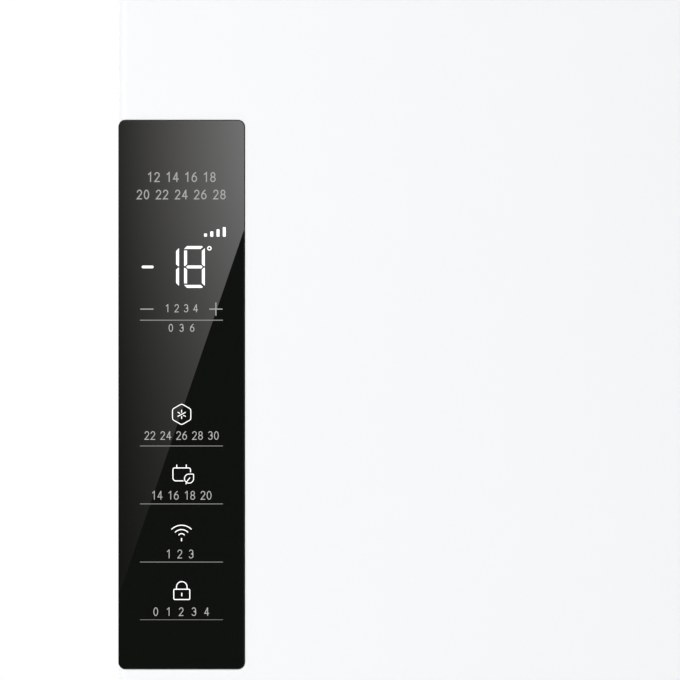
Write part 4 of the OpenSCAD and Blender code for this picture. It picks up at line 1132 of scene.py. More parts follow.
def oval(centre: Point, reach: Point, start: float = 0.0, end: float = 360.0, steps: int = 30) -> list[Point]:
    """Points along an ellipse.

    Args:
        centre: Its middle.
        reach: Its two radii.
        start: First angle in degrees.
        end: Last angle in degrees.
        steps: Number of stretches between the points.

    Returns:
        The points. A full turn leaves its last one out.
    """
    whole = end - start >= 360
    points = arc((0.0, 0.0), 1.0, start, end, steps)
    if whole:
        points.pop()
    return [(centre[0] + reach[0] * x, centre[1] + reach[1] * y) for x, y in points]


class Numerals:
    """Plain digits as strokes in a cell that is one unit high and half a unit wide, read downwards."""

    width = 0.5

    def strokes(self, digit: str) -> list[tuple[list[Point], bool]]:
        """Strokes of a digit.

        Args:
            digit: The digit.

        Returns:
            Each stroke's points and whether it closes on itself.
        """
        drawn = {
            "0": [(oval((0.25, 0.5), (0.25, 0.5)), True)],
            "1": [([(0.1, 0.2), (0.33, 0.0), (0.33, 1.0)], False)],
            "2": [(oval((0.25, 0.27), (0.24, 0.27), 190, 395, 18) + [(0.0, 1.0), (0.5, 1.0)], False)],
            "3": [(self.three(), False)],
            "4": [([(0.37, 0.0), (0.0, 0.72), (0.54, 0.72)], False), ([(0.38, 0.0), (0.38, 1.0)], False)],
            "6": [(oval((0.25, 0.69), (0.25, 0.31)), True), (self.six_back(), False)],
            "8": [(oval((0.25, 0.245), (0.21, 0.245)), True), (oval((0.25, 0.745), (0.25, 0.255)), True)],
        }
        return drawn[digit]

    @staticmethod
    def three() -> list[Point]:
        """Two bowls, one over the other."""
        upper = oval((0.24, 0.25), (0.22, 0.25), 205, 440, 16)
        return upper + oval((0.24, 0.735), (0.25, 0.265), -80, 155, 16)

    @staticmethod
    def six_back() -> list[Point]:
        """Curved back of a six.

        Returns:
            Points from its top to its bowl.
        """
        start, bend, end = Vector((0.4, 0.0)), Vector((0.03, 0.25)), Vector((0.0, 0.67))
        steps = [i / 10 for i in range(11)]
        return [tuple(start * (1 - t) ** 2 + bend * 2 * t * (1 - t) + end * t * t) for t in steps]


@dataclass(frozen=True)
class NumberRow:
    """Row of plain numbers on the display.

    Attributes:
        name: Name of the row.
        text: The numbers, with a space between them.
        left: Its left edge.
        right: Its right edge.
        top: Its top edge.
        height: Height of the digits.
        stroke: Width of their strokes.
        light: Their finish.
    """

    name: str
    text: str
    left: float
    right: float
    top: float
    height: float
    stroke: float
    light: Finish


@dataclass
class DisplayPanel:
    """Glass display in the door's left edge, with its lit digits, symbols and keys.

    The marks are placed in millimetres from the glass's left edge and down from its top, and the sizes
    below that aren't of the glass itself are millimetres too.

    Attributes:
        model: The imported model.
        corner: Radius of the glass's corners.
        glass_inset: From the marks' plane back to the glass's own face.
        edge: Width of the glass's ground edge.
        glass_sharp: Angle in degrees above which that edge stays sharp.
        stroke: Width of the symbols' strokes.
        fine_stroke: Width of the strokes of the symbols with small parts.
        key_stroke: Width of the keys' strokes.
        mitre_least: Keeps the outside of a sharp bend from running far out.
        digit_middle: Level of the digits' middle.
        digit_top: Level of their top.
        eight_left: Left edge of the eight.
        eight_right: Right edge of the eight.
        one_right: Right edge of the one.
        bar: Width of the digits' bars.
        bar_gap: Half of the gap between an upper and a lower bar.
        key_level: Level of the keys' middle.
        key_arm: Half of the plus key's width.
        plus_x: Middle of the plus key.
        rule_left: Left end of the thin lines.
        rule_right: Right end of them.
    """

    model: Model
    corner: float = 3.0 * MM
    glass_inset: float = 0.06 * MM
    edge: float = 0.12 * MM
    glass_sharp: float = 20.0
    stroke: float = 0.44
    fine_stroke: float = 0.4
    key_stroke: float = 0.52
    mitre_least: float = 0.35
    digit_middle: float = 69.2
    digit_top: float = 59.32
    eight_left: float = 31.08
    eight_right: float = 40.86
    one_right: float = 28.68
    bar: float = 1.38
    bar_gap: float = 0.36
    key_level: float = 89.1
    key_arm: float = 3.1
    plus_x: float = 46.1
    rule_left: float = 10.25
    rule_right: float = 49.4

    def __post_init__(self) -> None:
        """Reads where the glass is."""
        self.low, self.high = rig.box("panel_glass")
        self.front = self.low.y

    def at(self, point: Point) -> Vector:
        """Place of a point on the marks' front plane."""
        return Vector((self.low.x + point[0] * MM, self.front, self.high.z - point[1] * MM))

    @property
    def thickness(self) -> Vector:
        """Depth of a mark, which ends inside the glass."""
        return Vector((0, 2 * self.glass_inset, 0))

    def build(self) -> None:
        """Builds the glass, the digits, the symbols, the keys and the scales."""
        self.glass()
        self.digits()
        self.degree_ring()
        self.keys()
        self.snow_symbol()
        self.saving_symbol()
        self.wireless_symbol()
        self.lock_symbol()
        self.scales()
        self.level_steps()
        self.rules()
        self.model.dress(HOUSING, "panel_housing")
        self.model.dress(BOARD, "panel_board")

    def glass(self) -> None:
        """Glass plate with ground edges, a hair behind the marks' plane."""
        shape = Shape("display_glass")
        loops = []
        rows = [(self.edge, 0.0), (0.0, self.edge), (0.0, self.high.y - self.front - self.glass_inset)]
        for inset, depth in rows:
            outline = rounded_box(
                (self.low.x + inset, self.low.z + inset),
                (self.high.x - inset, self.high.z - inset),
                self.corner - inset,
                12,
            )
            y = self.front + self.glass_inset + depth
            loops.append([shape.mesh.verts.new((x, y, z)) for x, z in outline])
        shape.join_loops(loops, False)
        shape.mesh.faces.new(loops[0])
        shape.mesh.faces.new(loops[-1][::-1])
        piece = shape.build("door", DISPLAY_GLASS, self.glass_sharp)
        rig.replaces(piece, "panel_glass")
        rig.slot(piece, "display_glass")

    def area(self, shape: Shape, outline: Iterable[Point]) -> None:
        """Adds a flat mark with the given outline."""
        shape.slab([self.at(p) for p in outline], self.thickness)

    def sides(self, path: Sequence[Point], width: float, closed: bool) -> tuple[list[Point], list[Point]]:
        """Points on both sides of a path.

        Args:
            path: Its points.
            width: Width of the stroke.
            closed: Whether the path ends where it starts.

        Returns:
            The points on its left and on its right.
        """
        left, right = [], []
        count = len(path)
        for i, point in enumerate(path):
            before = path[i - 1] if closed or i else point
            after = path[(i + 1) % count] if closed or i < count - 1 else point
            first = (Vector(point) - Vector(before)).normalized()
            second = (Vector(after) - Vector(point)).normalized()
            along = (first + second).normalized()
            reach = width / 2 / max(self.mitre_least, along.dot(second if second.length else first))
            across = Vector((-along.y, along.x)) * reach
            left.append((point[0] + across.x, point[1] + across.y))
            right.append((point[0] - across.x, point[1] - across.y))
        return left, right

    def line(self, shape: Shape, path: Sequence[Point], width: float, rounded: bool = True) -> None:
        """Adds an open stroke.

        Args:
            shape: Where it goes.
            path: Its points.
            width: Its width.
            rounded: Whether its ends are round.
        """
        left, right = self.sides(path, width, False)
        if rounded:
            end = self.cap(path[-1], left[-1])
            start = self.cap(path[0], right[0])
            outline = left + end + right[::-1] + start
        else:
            outline = left + right[::-1]
        self.area(shape, outline)

    def cap(self, centre: Point, start: Point) -> list[Point]:
        """Points of a round end.

        Args:
            centre: Middle of the stroke's end.
            start: Point at one side of that end.

        Returns:
            Points from just after the start to just before the point opposite it.
        """
        arm = Vector(start) - Vector(centre)
        turned = [Matrix.Rotation(-math.pi * i / 8, 2) @ arm for i in range(1, 8)]
        return [(centre[0] + a.x, centre[1] + a.y) for a in turned]

    def loop(self, shape: Shape, path: Sequence[Point], width: float) -> None:
        """Adds a closed stroke."""
        left, right = self.sides(path, width, True)
        shape.ring_slab([self.at(p) for p in left], [self.at(p) for p in right], self.thickness)

    def digits(self) -> None:
        """Minus, one and eight as bars with bevelled ends, as a seven-bar display has them."""
        shape = Shape("display_digits")
        middle, top, left, right = self.digit_middle, self.digit_top, self.eight_left, self.eight_right
        bar, gap = self.bar, self.bar_gap
        roof = [(left, top + bar), (left + 1.4, top), (right - 1.35, top), (right - 0.95, top + 0.5)]
        roof.append((right - 2.05, top + bar))
        post = [(left, top + 2.12), (left + bar, top + 2.12), (left + bar, middle - 1.3)]
        post += [(left + 0.45, middle - gap - 0.1), (left, middle - gap - 0.1)]
        edge = [(-bar, 2.35), (-0.2, 1.15), (0.0, 1.15), (0.0, middle - top - gap)]
        edge += [(-0.4, middle - top - gap), (-bar, middle - top - 1.3)]
        bars = [roof, post] + [[(x + dx, top + drop) for dx, drop in edge] for x in (self.one_right, right)]
        for outline in bars:
            self.area(shape, outline)
            self.area(shape, [(x, 2 * middle - drop) for x, drop in outline[::-1]])
        half = bar / 2
        bridge = [(32.05, middle), (32.75, middle - half), (39.2, middle - half), (39.85, middle)]
        self.area(shape, bridge + [(39.2, middle + half), (32.75, middle + half)])
        self.line(shape, [(11.68, middle), (16.03, middle)], 1.28)
        shape.build("door", WHITE_LIGHT)

    def degree_ring(self) -> None:
        """Small ring beside the digits."""
        shape = Shape("display_degree_ring")
        self.loop(shape, arc((43.02, 60.4), 0.8, 0, 345, 23), 0.5)
        shape.build("door", WHITE_LIGHT)

    def keys(self) -> None:
        """Minus key and plus key."""
        shape = Shape("display_keys")
        level, arm, half = self.key_level, self.key_arm, self.key_stroke / 2
        self.line(shape, [(10.6, level), (16.4, level)], self.key_stroke)
        outline = []
        for quarter in range(4):
            corner = [(arm, -half), (arm, half), (half, half)]
            turn = Matrix.Rotation(math.pi / 2 * quarter, 2)
            outline += [tuple(Vector((self.plus_x, level)) + turn @ Vector(p)) for p in corner]
        self.area(shape, outline)
        shape.build("door", MUTED_LIGHT)

    def snow_symbol(self) -> None:
        """Six-sided frame with rounded corners round a snow crystal with one arm right across."""
        shape = Shape("display_snow_symbol")
        centre, half_w, half_h, rounding = Vector((29.92, 138.8)), 4.32, 4.93, 0.8
        tips = [(0, -half_h), (half_w, -half_h / 2), (half_w, half_h / 2)]
        tips = [Vector(tip) for tip in tips + [(-x, -y) for x, y in tips]]
        path = []
        for i, tip in enumerate(tips):
            before = (tips[i - 1] - tip).normalized() * rounding
            after = (tips[(i + 1) % 6] - tip).normalized() * rounding
            for t in (0, 0.25, 0.5, 0.75, 1):
                path.append(tuple(centre + tip + before * (1 - t) ** 2 + after * t ** 2))
        self.loop(shape, path, self.fine_stroke)
        arm_end = 2.0
        arms = {90: 0.95, 270: 0.95, 28: 1.0, 208: 1.0, 152: -arm_end}
        for degrees, inner in arms.items():
            reach = Vector((math.cos(math.radians(degrees)), math.sin(math.radians(degrees))))
            self.line(shape, [tuple(centre + reach * r) for r in (inner, arm_end)], self.fine_stroke)
        shape.build("door", WHITE_LIGHT)

    def saving_symbol(self) -> None:
        """Battery outline with two poles and a leaf over its lower right corner."""
        shape = Shape("display_saving_symbol")
        left, right, top, bottom = 25.8, 34.1, 164.12, 170.22
        upper, lower = 0.8, 1.4
        frame = [(right, top + 1.9)] + arc((right - upper, top + upper), upper, 0, -90, 5)
        frame += arc((left + upper, top + upper), upper, 270, 180, 5)
        frame += arc((left + lower, bottom - lower), lower, 180, 90, 6) + [(30.6, bottom)]
        self.line(shape, frame, self.stroke)
        for x in (27.6, 32.1):
            self.line(shape, [(x, top - 1.4), (x, top)], self.stroke)
        heart, reach, tip = (33.4, 169.15), 2.15, 0.4
        leaf = arc((heart[0] + reach - tip, heart[1] - reach + tip), tip, -90, 0, 4)
        leaf += arc(heart, reach, 0, 270, 26)
        self.loop(shape, leaf, self.fine_stroke)
        self.line(shape, [(33.8, 168.75), (32.3, 170.6), (32.0, 171.7)], self.fine_stroke)
        shape.build("door", WHITE_LIGHT)

    def wireless_symbol(self) -> None:
        """Three arcs over a short bar."""
        shape = Shape("display_wireless_symbol")
        middle = 29.86
        for top, half, rise in ((191.17, 4.6, 1.85), (193.22, 2.95, 1.2), (195.15, 1.3, 0.6)):
            radius = (half * half + rise * rise) / (2 * rise)
            spread = math.degrees(math.asin(half / radius))
            path = arc((middle, top + radius), radius, -90 - spread, -90 + spread, 14)
            self.line(shape, path, self.stroke)
        self.line(shape, [(middle, 197.5), (middle, 198.5)], 0.55)
        shape.build("door", WHITE_LIGHT)

    def lock_symbol(self) -> None:
        """Padlock: body, shackle and keyhole."""
        shape = Shape("display_lock_symbol")
        left, right, top, bottom = 26.2, 33.75, 221.4, 226.25
        self.loop(shape, rounded_box((left, top), (right, bottom), 0.5, 4), self.stroke)
        middle, reach = (left + right) / 2, 2.5
        bow = arc((middle, top - 1.1), reach, 180, 360, 14)
        self.line(shape, [(middle - reach, top)] + bow + [(middle + reach, top)], self.stroke, False)
        self.line(shape, [(middle, 223.3), (middle, 224.5)], 0.5)
        shape.build("door", WHITE_LIGHT)

    def scales(self) -> None:
        """Rows of plain numbers: the temperatures and the steps of each key."""
        bold, plain = 0.52, 0.34  # widths of the strokes
        rows = [
            NumberRow("temperatures_upper", "12 14 16 18", 13.6, 46.0, 24.4, 4.7, bold, MUTED_LIGHT),
            NumberRow("temperatures_lower", "20 22 24 26 28", 8.7, 50.7, 32.7, 4.6, bold, MUTED_LIGHT),
            NumberRow("steps", "1 2 3 4", 22.1, 37.5, 86.8, 3.8, plain, GREY_LIGHT),
            NumberRow("seconds", "0 3 6", 23.8, 35.9, 96.1, 3.7, plain, GREY_LIGHT),
            NumberRow("cooling_steps", "22 24 26 28 30", 12.4, 47.4, 146.8, 4.0, plain, GREY_LIGHT),
            NumberRow("saving_steps", "14 16 18 20", 15.6, 44.0, 175.0, 4.1, plain, GREY_LIGHT),
            NumberRow("wireless_steps", "1 2 3", 22.6, 35.5, 202.7, 4.1, plain, GREY_LIGHT),
            NumberRow("lock_steps", "0 1 2 3 4", 16.6, 42.8, 230.0, 4.0, plain, GREY_LIGHT),
        ]
        for row in rows:
            self.numbers(row)

    def numbers(self, row: NumberRow) -> None:
        """Draws a row of numbers across its whole width.

        Args:
            row: What it says and where it is.
        """
        shape = Shape("display_" + row.name)
        pen = Numerals()
        tall = row.height - row.stroke
        cell = pen.width * tall + row.stroke
        space = 0.17
        pitch = cell + space * row.height
        groups = row.text.split(" ")
        taken = sum(pitch * (len(group) - 1) + cell for group in groups)
        gap = (row.right - row.left - taken) / (len(groups) - 1)
        x = row.left + row.stroke / 2
        for group in groups:
            for digit in group:
                for path, closed in pen.strokes(digit):
                    placed = [(x + px * tall, row.top + row.stroke / 2 + py * tall) for px, py in path]
                    if closed:
                        self.loop(shape, placed, row.stroke)
                    else:
                        self.line(shape, placed, row.stroke)
                x += pitch
            x += gap - pitch + cell
        shape.build("door", row.light)

    def level_steps(self) -> None:
        """Four rising bars over the digits, for the cooling power."""
        shape = Shape("display_level_steps")
        left, foot, width, pitch = 40.5, 54.9, 1.4, 2.95
        for i, height in enumerate((1.5, 2.5, 3.5, 4.5)):
            x = left + i * pitch
            self.area(shape, rounded_box((x, foot - height), (x + width, foot), 0.3, 3))
        shape.build("door", WHITE_LIGHT)

    def rules(self) -> None:
        """Thin lines under the keys."""
        shape = Shape("display_rules")
        for drop, width in ((94.35, 0.43), (153.74, 0.32), (181.1, 0.32), (208.56, 0.32), (235.8, 0.2)):
            self.line(shape, [(self.rule_left, drop), (self.rule_right, drop)], width, False)
        shape.build("door", FAINT_LIGHT)


@dataclass
class Gasket:
    """Magnetic gasket round the door: a foot in the liner, two bellows folds and a head.

    Attributes:
        foot: Thickness of the foot.
        width: Width of the foot.
        rounding: Radius of the foot's and the head's edges.
        head: Thickness of the head, with its magnet.
        neck: From the foot's edge to where the bellows start.
        fold: From the foot's edge to the fold's tip.
        head_lap: From the foot's edge to the head's shoulder.
        head_inset: From the foot's edge to the head's side.
        dip: By how much the bellows end below the shoulder.
        sharp: Angle in degrees above which an edge stays sharp.
    """

    foot: float = 3.5 * MM
    width: float = 18.0 * MM
    rounding: float = 0.9 * MM
    head: float = 4.5 * MM
    neck: float = 4.6 * MM
    fold: float = 3.4 * MM
    head_lap: float = 1.8 * MM
    head_inset: float = 1.0 * MM
    dip: float = 0.3 * MM
    sharp: float = 50.0

    def profile(self, depth: float) -> list[Point]:
        """Closed outline across the gasket.

        Args:
            depth: From the liner to the head's face.

        Returns:
            Points of distance inwards from the outer edge and of depth from the liner.
        """
        w, r = self.width, self.rounding
        shoulder = depth - self.head
        side, bend = w - self.head_inset, r * 0.3
        right = [(w, 0), (w, self.foot - r), (w - r, self.foot), (w - self.neck, self.foot)]
        right += [(w - self.fold, (self.foot + shoulder) / 2), (w - self.neck, shoulder - self.dip)]
        right += [(w - self.head_lap, shoulder), (side, shoulder + r), (side, depth - r)]
        right += [(side - bend, depth - bend), (side - r, depth)]
        return right + [(w - x, y) for x, y in right[::-1]]

    def build(self, low: Vector, high: Vector) -> None:
        """Sweeps the outline round the door with mitred corners.

        Args:
            low: Lowest corner of the gasket's node.
            high: Its highest corner.
        """
        shape = Shape("gasket_bellows")
        loops = []
        for inset, depth in self.profile(high.y - low.y):
            x0, x1, z0, z1 = low.x + inset, high.x - inset, low.z + inset, high.z - inset
            y = low.y + depth
            corners = [(x0, y, z0), (x1, y, z0), (x1, y, z1), (x0, y, z1)]
            loops.append([shape.mesh.verts.new(c) for c in corners])
        shape.join_loops(loops, True)
        piece = shape.build("door", VINYL, self.sharp)
        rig.replaces(piece, "door_gasket")
        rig.slot(piece, "gasket_vinyl")


@dataclass
class Door:
    """The door with its painted sheet, caps, liner, gasket, grip and display.

    Attributes:
        model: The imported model.
        cap_edge: Width of the caps' eased edges.
        grip_edge: Width of the grip's.
        liner_edge: Width of the liner's, where there is room.
        least: Length below which an edge of the caps and the grip stays as it is.
    """

    model: Model
    cap_edge: float = 0.4 * MM
    grip_edge: float = 0.7 * MM
    liner_edge: float = 2.2 * MM
    least: float = 1.2 * MM

    def build(self) -> None:
        """Builds and dresses the door's pieces."""
        self.model.dress(WHITE_PAINT, "door_skin")
        self.model.dress(FOAM, "door_foam")
        self.model.dress(GREY_PLASTIC, "hinge_bushes")
        self.model.softened("door_cap_top", WHITE_TRIM, self.cap_edge, least=self.least)
        self.model.softened("door_cap_bottom", WHITE_TRIM, self.cap_edge, least=self.least)
        self.model.softened("door_liner", LINER, self.liner_edge, 4, held=True)
        self.model.softened("grip_cup", GRIP_GREY, self.grip_edge, least=self.least)
        Gasket().build(*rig.box("door_gasket"))
        DisplayPanel(self.model).build()


@dataclass
class Screw:
    """Pan-head screw with a cross recess.

    Attributes:
        recess_length: From the axis to the end of the cross's arm.
        recess_width: Half of the arm's width.
        recess_depth: Depth of the cross.
        slope_along: Length of the slope at the arm's end.
        slope_across: Length of the slope at its sides.
        head: Height of the head.
        rim: Height of the head's upright side.
        dome: How flat the dome is.
        shank: Radius of the shank.
        tip: Radius of its tip.
        taper: Length of the tip's taper.
        rings: Number of rings across the head.
        steps: Number of facets round it.
    """

    recess_length: float = 2.7 * MM
    recess_width: float = 0.75 * MM
    recess_depth: float = 1.5 * MM
    slope_along: float = 0.9 * MM
    slope_across: float = 0.25 * MM
    head: float = 2.5 * MM
    rim: float = 0.5 * MM
    dome: float = 3.2
    shank: float = 2.4 * MM
    tip: float = 1.2 * MM
    taper: float = 1.4 * MM
    rings: int = 22
    steps: int = 64

    def add(self, shape: Shape, low: Vector, high: Vector) -> None:
        """Adds one screw in the place of a solid of the screws' node.

        Args:
            shape: Where it goes.
            low: Lowest corner of the solid.
            high: Its highest corner.
        """
        size = high - low
        axis = max(range(3), key=lambda i: size[i])
        radius = min(size[i] for i in range(3)) / 2
        length = size[axis]
        middle = (low + high) / 2
        tip_side = 1.0 if axis == 2 or middle.y > 0 else -1.0
        out = Vector((0, 0, 0))
        out[axis] = tip_side
        turn = out.to_track_quat("Z", "Y").to_matrix().to_4x4()
        place = Matrix.Translation(middle - out * length / 2) @ turn
        base = length - self.head
        profile = [(self.tip, 0), (self.shank, self.taper), (self.shank, base)]
        profile += [(radius, base), (radius, base + self.rim)]
        loops = []
        for r, z in profile:
            ring = [(r * math.cos(a), r * math.sin(a), z) for a in circle_angles(self.steps)]
            loops.append([shape.mesh.verts.new(place @ Vector(p)) for p in ring])
        for i in range(1, self.rings):
            r = radius * (1 - i / self.rings)
            ring = []
            for a in circle_angles(self.steps):
                x, y = r * math.cos(a), r * math.sin(a)
                ring.append((x, y, base + self.top_height(x, y, radius)))
            loops.append([shape.mesh.verts.new(place @ Vector(p)) for p in ring])
        shape.join_loops(loops, False)
        shape.close_end(loops[0], place @ Vector((0, 0, 0)), True)
        centre = (0, 0, base + self.top_height(0, 0, radius))
        shape.close_end(loops[-1], place @ Vector(centre), False)

    def top_height(self, x: float, y: float, radius: float) -> float:
        """Height of the head's top: a low dome with the cross sunk into it.

        Args:
            x: First place from the axis.
            y: Second place from it.
            radius: Radius of the head.

        Returns:
            Height over the head's underside.
        """
        share = math.hypot(x, y) / radius
        dome = self.head - (self.head - self.rim) * share ** self.dome
        far, near = max(abs(x), abs(y)), min(abs(x), abs(y))
        along = (self.recess_length - far) / self.slope_along
        across = (self.recess_width - near) / self.slope_across
        return dome - self.recess_depth * min(1.0, max(0.0, min(along, across)))


@dataclass
class Cabinet:
    """Outer cabinet: painted wrap, back, base, hinges and their cover, kick plate and screws.

    Attributes:
        model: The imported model.
        edge: Width of the eased edges of stout pieces.
        sheet_edge: Width of the eased edges of thin sheet.
        back_edge: Width of the back panel's, where there is room.
        cover_edge: Width of the hinge cover's, where there is room.
        screw_sharp: Angle in degrees above which a screw's edge stays sharp.
    """

    model: Model
    edge: float = 0.5 * MM
    sheet_edge: float = 0.3 * MM
    back_edge: float = 1.2 * MM
    cover_edge: float = 1.4 * MM
    screw_sharp: float = 50.0

    def build(self) -> None:
        """Builds and dresses the cabinet's outer pieces."""
        model = self.model
        model.dress(CABINET_PAINT, "cabinet_wrap")
        model.dress(FOAM, "foam_core")
        model.dress(ZINC, "base_pan", "front_rail", "machine_tray")
        model.softened("back_panel", ZINC, self.back_edge, 3, held=True)
        model.softened("machine_cover", ZINC, self.sheet_edge, 1)
        model.softened("hinge_cover", WHITE_TRIM, self.cover_edge, 4, held=True)
        model.softened("kick_plate", WHITE_TRIM, self.edge)
        for node in ("upper_hinge_bracket", "lower_hinge_bracket", "hinge_pins"):
            model.softened(node, STEEL, self.edge)
        model.softened("cable_gland", DARK_PLASTIC, self.edge)
        self.screws()

    def screws(self) -> None:
        """All the case's screws in one piece."""
        shape = Shape("cross_head_screws")
        for low, high in self.model.islands("case_screws"):
            Screw().add(shape, low, high)
        piece = shape.build("cabinet", STEEL, self.screw_sharp)
        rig.replaces(piece, "case_screws")
        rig.slot(piece, "screw_steel")


@dataclass
class Interior:
    """Cold space: liner, duct cover, lamp, shelves with their trims and the flaps' sockets.

    Attributes:
        model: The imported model.
        guard_margin: From the blades' tips to the fan guard's outer edge, inside which no edge is eased.
        least: Length below which an edge of the sockets stays as it is.
        liner_edge: Width of the liner's eased edges.
        duct_edge: Width of the duct cover's.
        lens_edge: Width of the lamp lens's.
        small_edge: Width of the sockets' and the shelves'.
    """

    model: Model
    guard_margin: float = 12.0 * MM
    least: float = 1.2 * MM
    liner_edge: float = 1.0 * MM
    duct_edge: float = 0.3 * MM
    lens_edge: float = 1.8 * MM
    small_edge: float = 0.5 * MM

    def __post_init__(self) -> None:
        """Reads where the fan is."""
        low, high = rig.box("fan_blade")
        self.fan_middle = (low + high) / 2
        self.guard_reach = max(high.x - low.x, high.z - low.z) / 2 + self.guard_margin

    def in_guard(self, point: Vector) -> bool:
        """Whether a point of the duct cover belongs to the fan guard.

        Args:
            point: The point.

        Returns:
            True inside the guard's outer edge.
        """
        return math.hypot(point.x - self.fan_middle.x, point.z - self.fan_middle.z) <= self.guard_reach

    def build(self) -> None:
        """Builds and dresses the inside."""
        model = self.model
        model.softened("inner_liner", LINER, self.liner_edge)
        model.softened("duct_cover", LINER, self.duct_edge, 1, spared=self.in_guard)
        model.softened("lamp_lens", LAMP, self.lens_edge, 4)
        model.softened("flap_hinges", WHITE_TRIM, self.small_edge, least=self.least)
        model.dress(WHITE_TRIM, "shelf_trims")
        for k in range(1, 7):
            model.softened(f"shelf_{k}", SHELF_GLASS, self.small_edge)


@dataclass
class Bins:
    """Clear drawers and flap doors.

    Attributes:
        model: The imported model.
        drawer_edge: Width of the drawers' eased edges, where there is room.
        flap_edge: Width of the flaps'.
        least: Length below which an edge of a flap stays as it is.
    """

    model: Model
    drawer_edge: float = 0.7 * MM
    flap_edge: float = 0.6 * MM
    least: float = 1.2 * MM

    def build(self) -> None:
        """Builds the drawers and the flaps."""
        for k in range(1, 6):
            self.model.softened(f"drawer_{k}", CLEAR_BIN, self.drawer_edge, held=True)
        for k in range(1, 3):
            self.model.softened(f"flap_{k}", CLEAR_BIN, self.flap_edge, least=self.least)


@dataclass
class Cooling:
    """Compressor, tubes, coils, heater, fan and the drain's parts.

    Attributes:
        model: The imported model.
        blade_edge: Width of the fan blades' eased edges.
        least: Length below which an edge of the blades stays as it is.
    """

    model: Model
    blade_edge: float = 0.15 * MM
    least: float = 1.2 * MM

    def build(self) -> None:
        """Builds and dresses the cooling parts."""
        model = self.model
        model.dress(BLACK_SHELL, "compressor")
        model.dress(RUBBER, "compressor_mounts")
        model.dress(DARK_PLASTIC, "starter_box", "fan_motor")
        model.dress(COPPER, "refrigerant_tubes", "filter_drier")
        model.dress(GREY_PLASTIC, "condensate_pan", "drain_tube", "drip_tray")
        model.dress(COATED_TUBE, "condenser_loops")
        model.dress(ALUMINIUM, "evaporator")
        model.dress(HEATER, "defrost_heater")
        model.softened("fan_blade", WHITE_TRIM, self.blade_edge, 1, least=self.least)


@dataclass
class Ground:
    """Levelling feet with their threads, and the rear rollers.

    Attributes:
        model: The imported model.
        thread_pitch: Pitch of the stem's thread.
        thread_depth: From its crests to its roots.
        disc: Height of the foot's disc.
        disc_edge: Radius of the disc's edges.
        collar: Width of the flat ring on the disc round the stem.
        nut_height: Height of the nut.
        nut_reach: From the stem's crests to the nut's corners.
        nut_ease: How far the nut's corners are turned off.
        stem: Radius of the stem over its crests.
        roller_edge: Width of the rollers' eased edges.
        sharp: Angle in degrees above which an edge of a foot stays sharp.
    """

    model: Model
    thread_pitch: float = 1.5 * MM
    thread_depth: float = 0.8 * MM
    disc: float = 9.0 * MM
    disc_edge: float = 3.0 * MM
    collar: float = 1.5 * MM
    nut_height: float = 7.0 * MM
    nut_reach: float = 4.0 * MM
    nut_ease: float = 0.8 * MM
    stem: float = 5.0 * MM
    roller_edge: float = 0.6 * MM
    sharp: float = 35.0

    def build(self) -> None:
        """Builds the feet and the rollers."""
        for side in ("left", "right"):
            self.foot(side)
            self.model.softened(f"roller_{side}", DARK_PLASTIC, self.roller_edge)

    def foot(self, side: str) -> None:
        """One levelling foot: disc, nut and threaded stem.

        Args:
            side: Its side, left or right.
        """
        low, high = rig.box("foot_" + side)
        middle = (low + high) / 2
        place = Matrix.Translation((middle.x, middle.y, low.z))
        radius = (high.x - low.x) / 2
        shape = Shape(f"foot_{side}_turned")
        edge, disc = self.disc_edge, self.disc
        profile = [(0, 0), (radius - edge, 0)]
        profile += arc((radius - edge, edge), edge, -90, 0, 6)[1:]
        profile += arc((radius - edge, disc - edge), edge, 0, 90, 6)
        profile += [(self.stem + self.collar, disc), (0, disc)]
        shape.turned(profile, place)
        self.nut(shape, place)
        self.thread(shape, place, disc + self.nut_height, high.z - low.z)
        piece = shape.build(f"{side}_foot", DARK_PLASTIC, self.sharp)
        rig.replaces(piece, "foot_" + side)
        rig.slot(piece, "dark_plastic")

    def nut(self, shape: Shape, place: Matrix) -> None:
        """Six-sided nut with turned-off corners, on the disc.

        Args:
            shape: Where it goes.
            place: The foot's place.
        """
        ease, radius = self.nut_ease, self.stem + self.nut_reach
        base, top = self.disc, self.disc + self.nut_height
        rows = [(base, radius - ease), (base + ease, radius), (top - ease, radius), (top, radius - ease)]
        loops = []
        for z, r in rows:
            ring = [Vector((r * math.cos(a), r * math.sin(a), z)) for a in circle_angles(6)]
            loops.append([shape.mesh.verts.new(place @ p) for p in ring])
        shape.join_loops(loops, False)
        shape.mesh.faces.new(loops[0][::-1])
        shape.mesh.faces.new(loops[-1])

    def thread(self, shape: Shape, place: Matrix, base: float, top: float) -> None:
        """Stem whose radius follows a helix.

        Args:
            shape: Where it goes.
            place: The foot's place.
            base: Where the thread starts.
            top: Where it ends.
        """
        steps, rows = 32, 8 * int((top - base) / self.thread_pitch)
        loops = []
        for i in range(rows + 1):
            z = base + (top - base) * i / rows
            ring = []
            for k, a in enumerate(circle_angles(steps)):
                phase = (z / self.thread_pitch - k / steps) % 1.0
                r = self.stem - self.thread_depth * abs(2 * phase - 1)
                ring.append(place @ Vector((r * math.cos(a), r * math.sin(a), z)))
            loops.append([shape.mesh.verts.new(p) for p in ring])
        shape.join_loops(loops, False)
        shape.close_end(loops[0], place @ Vector((0, 0, base)), True)
        shape.close_end(loops[-1], place @ Vector((0, 0, top)), False)


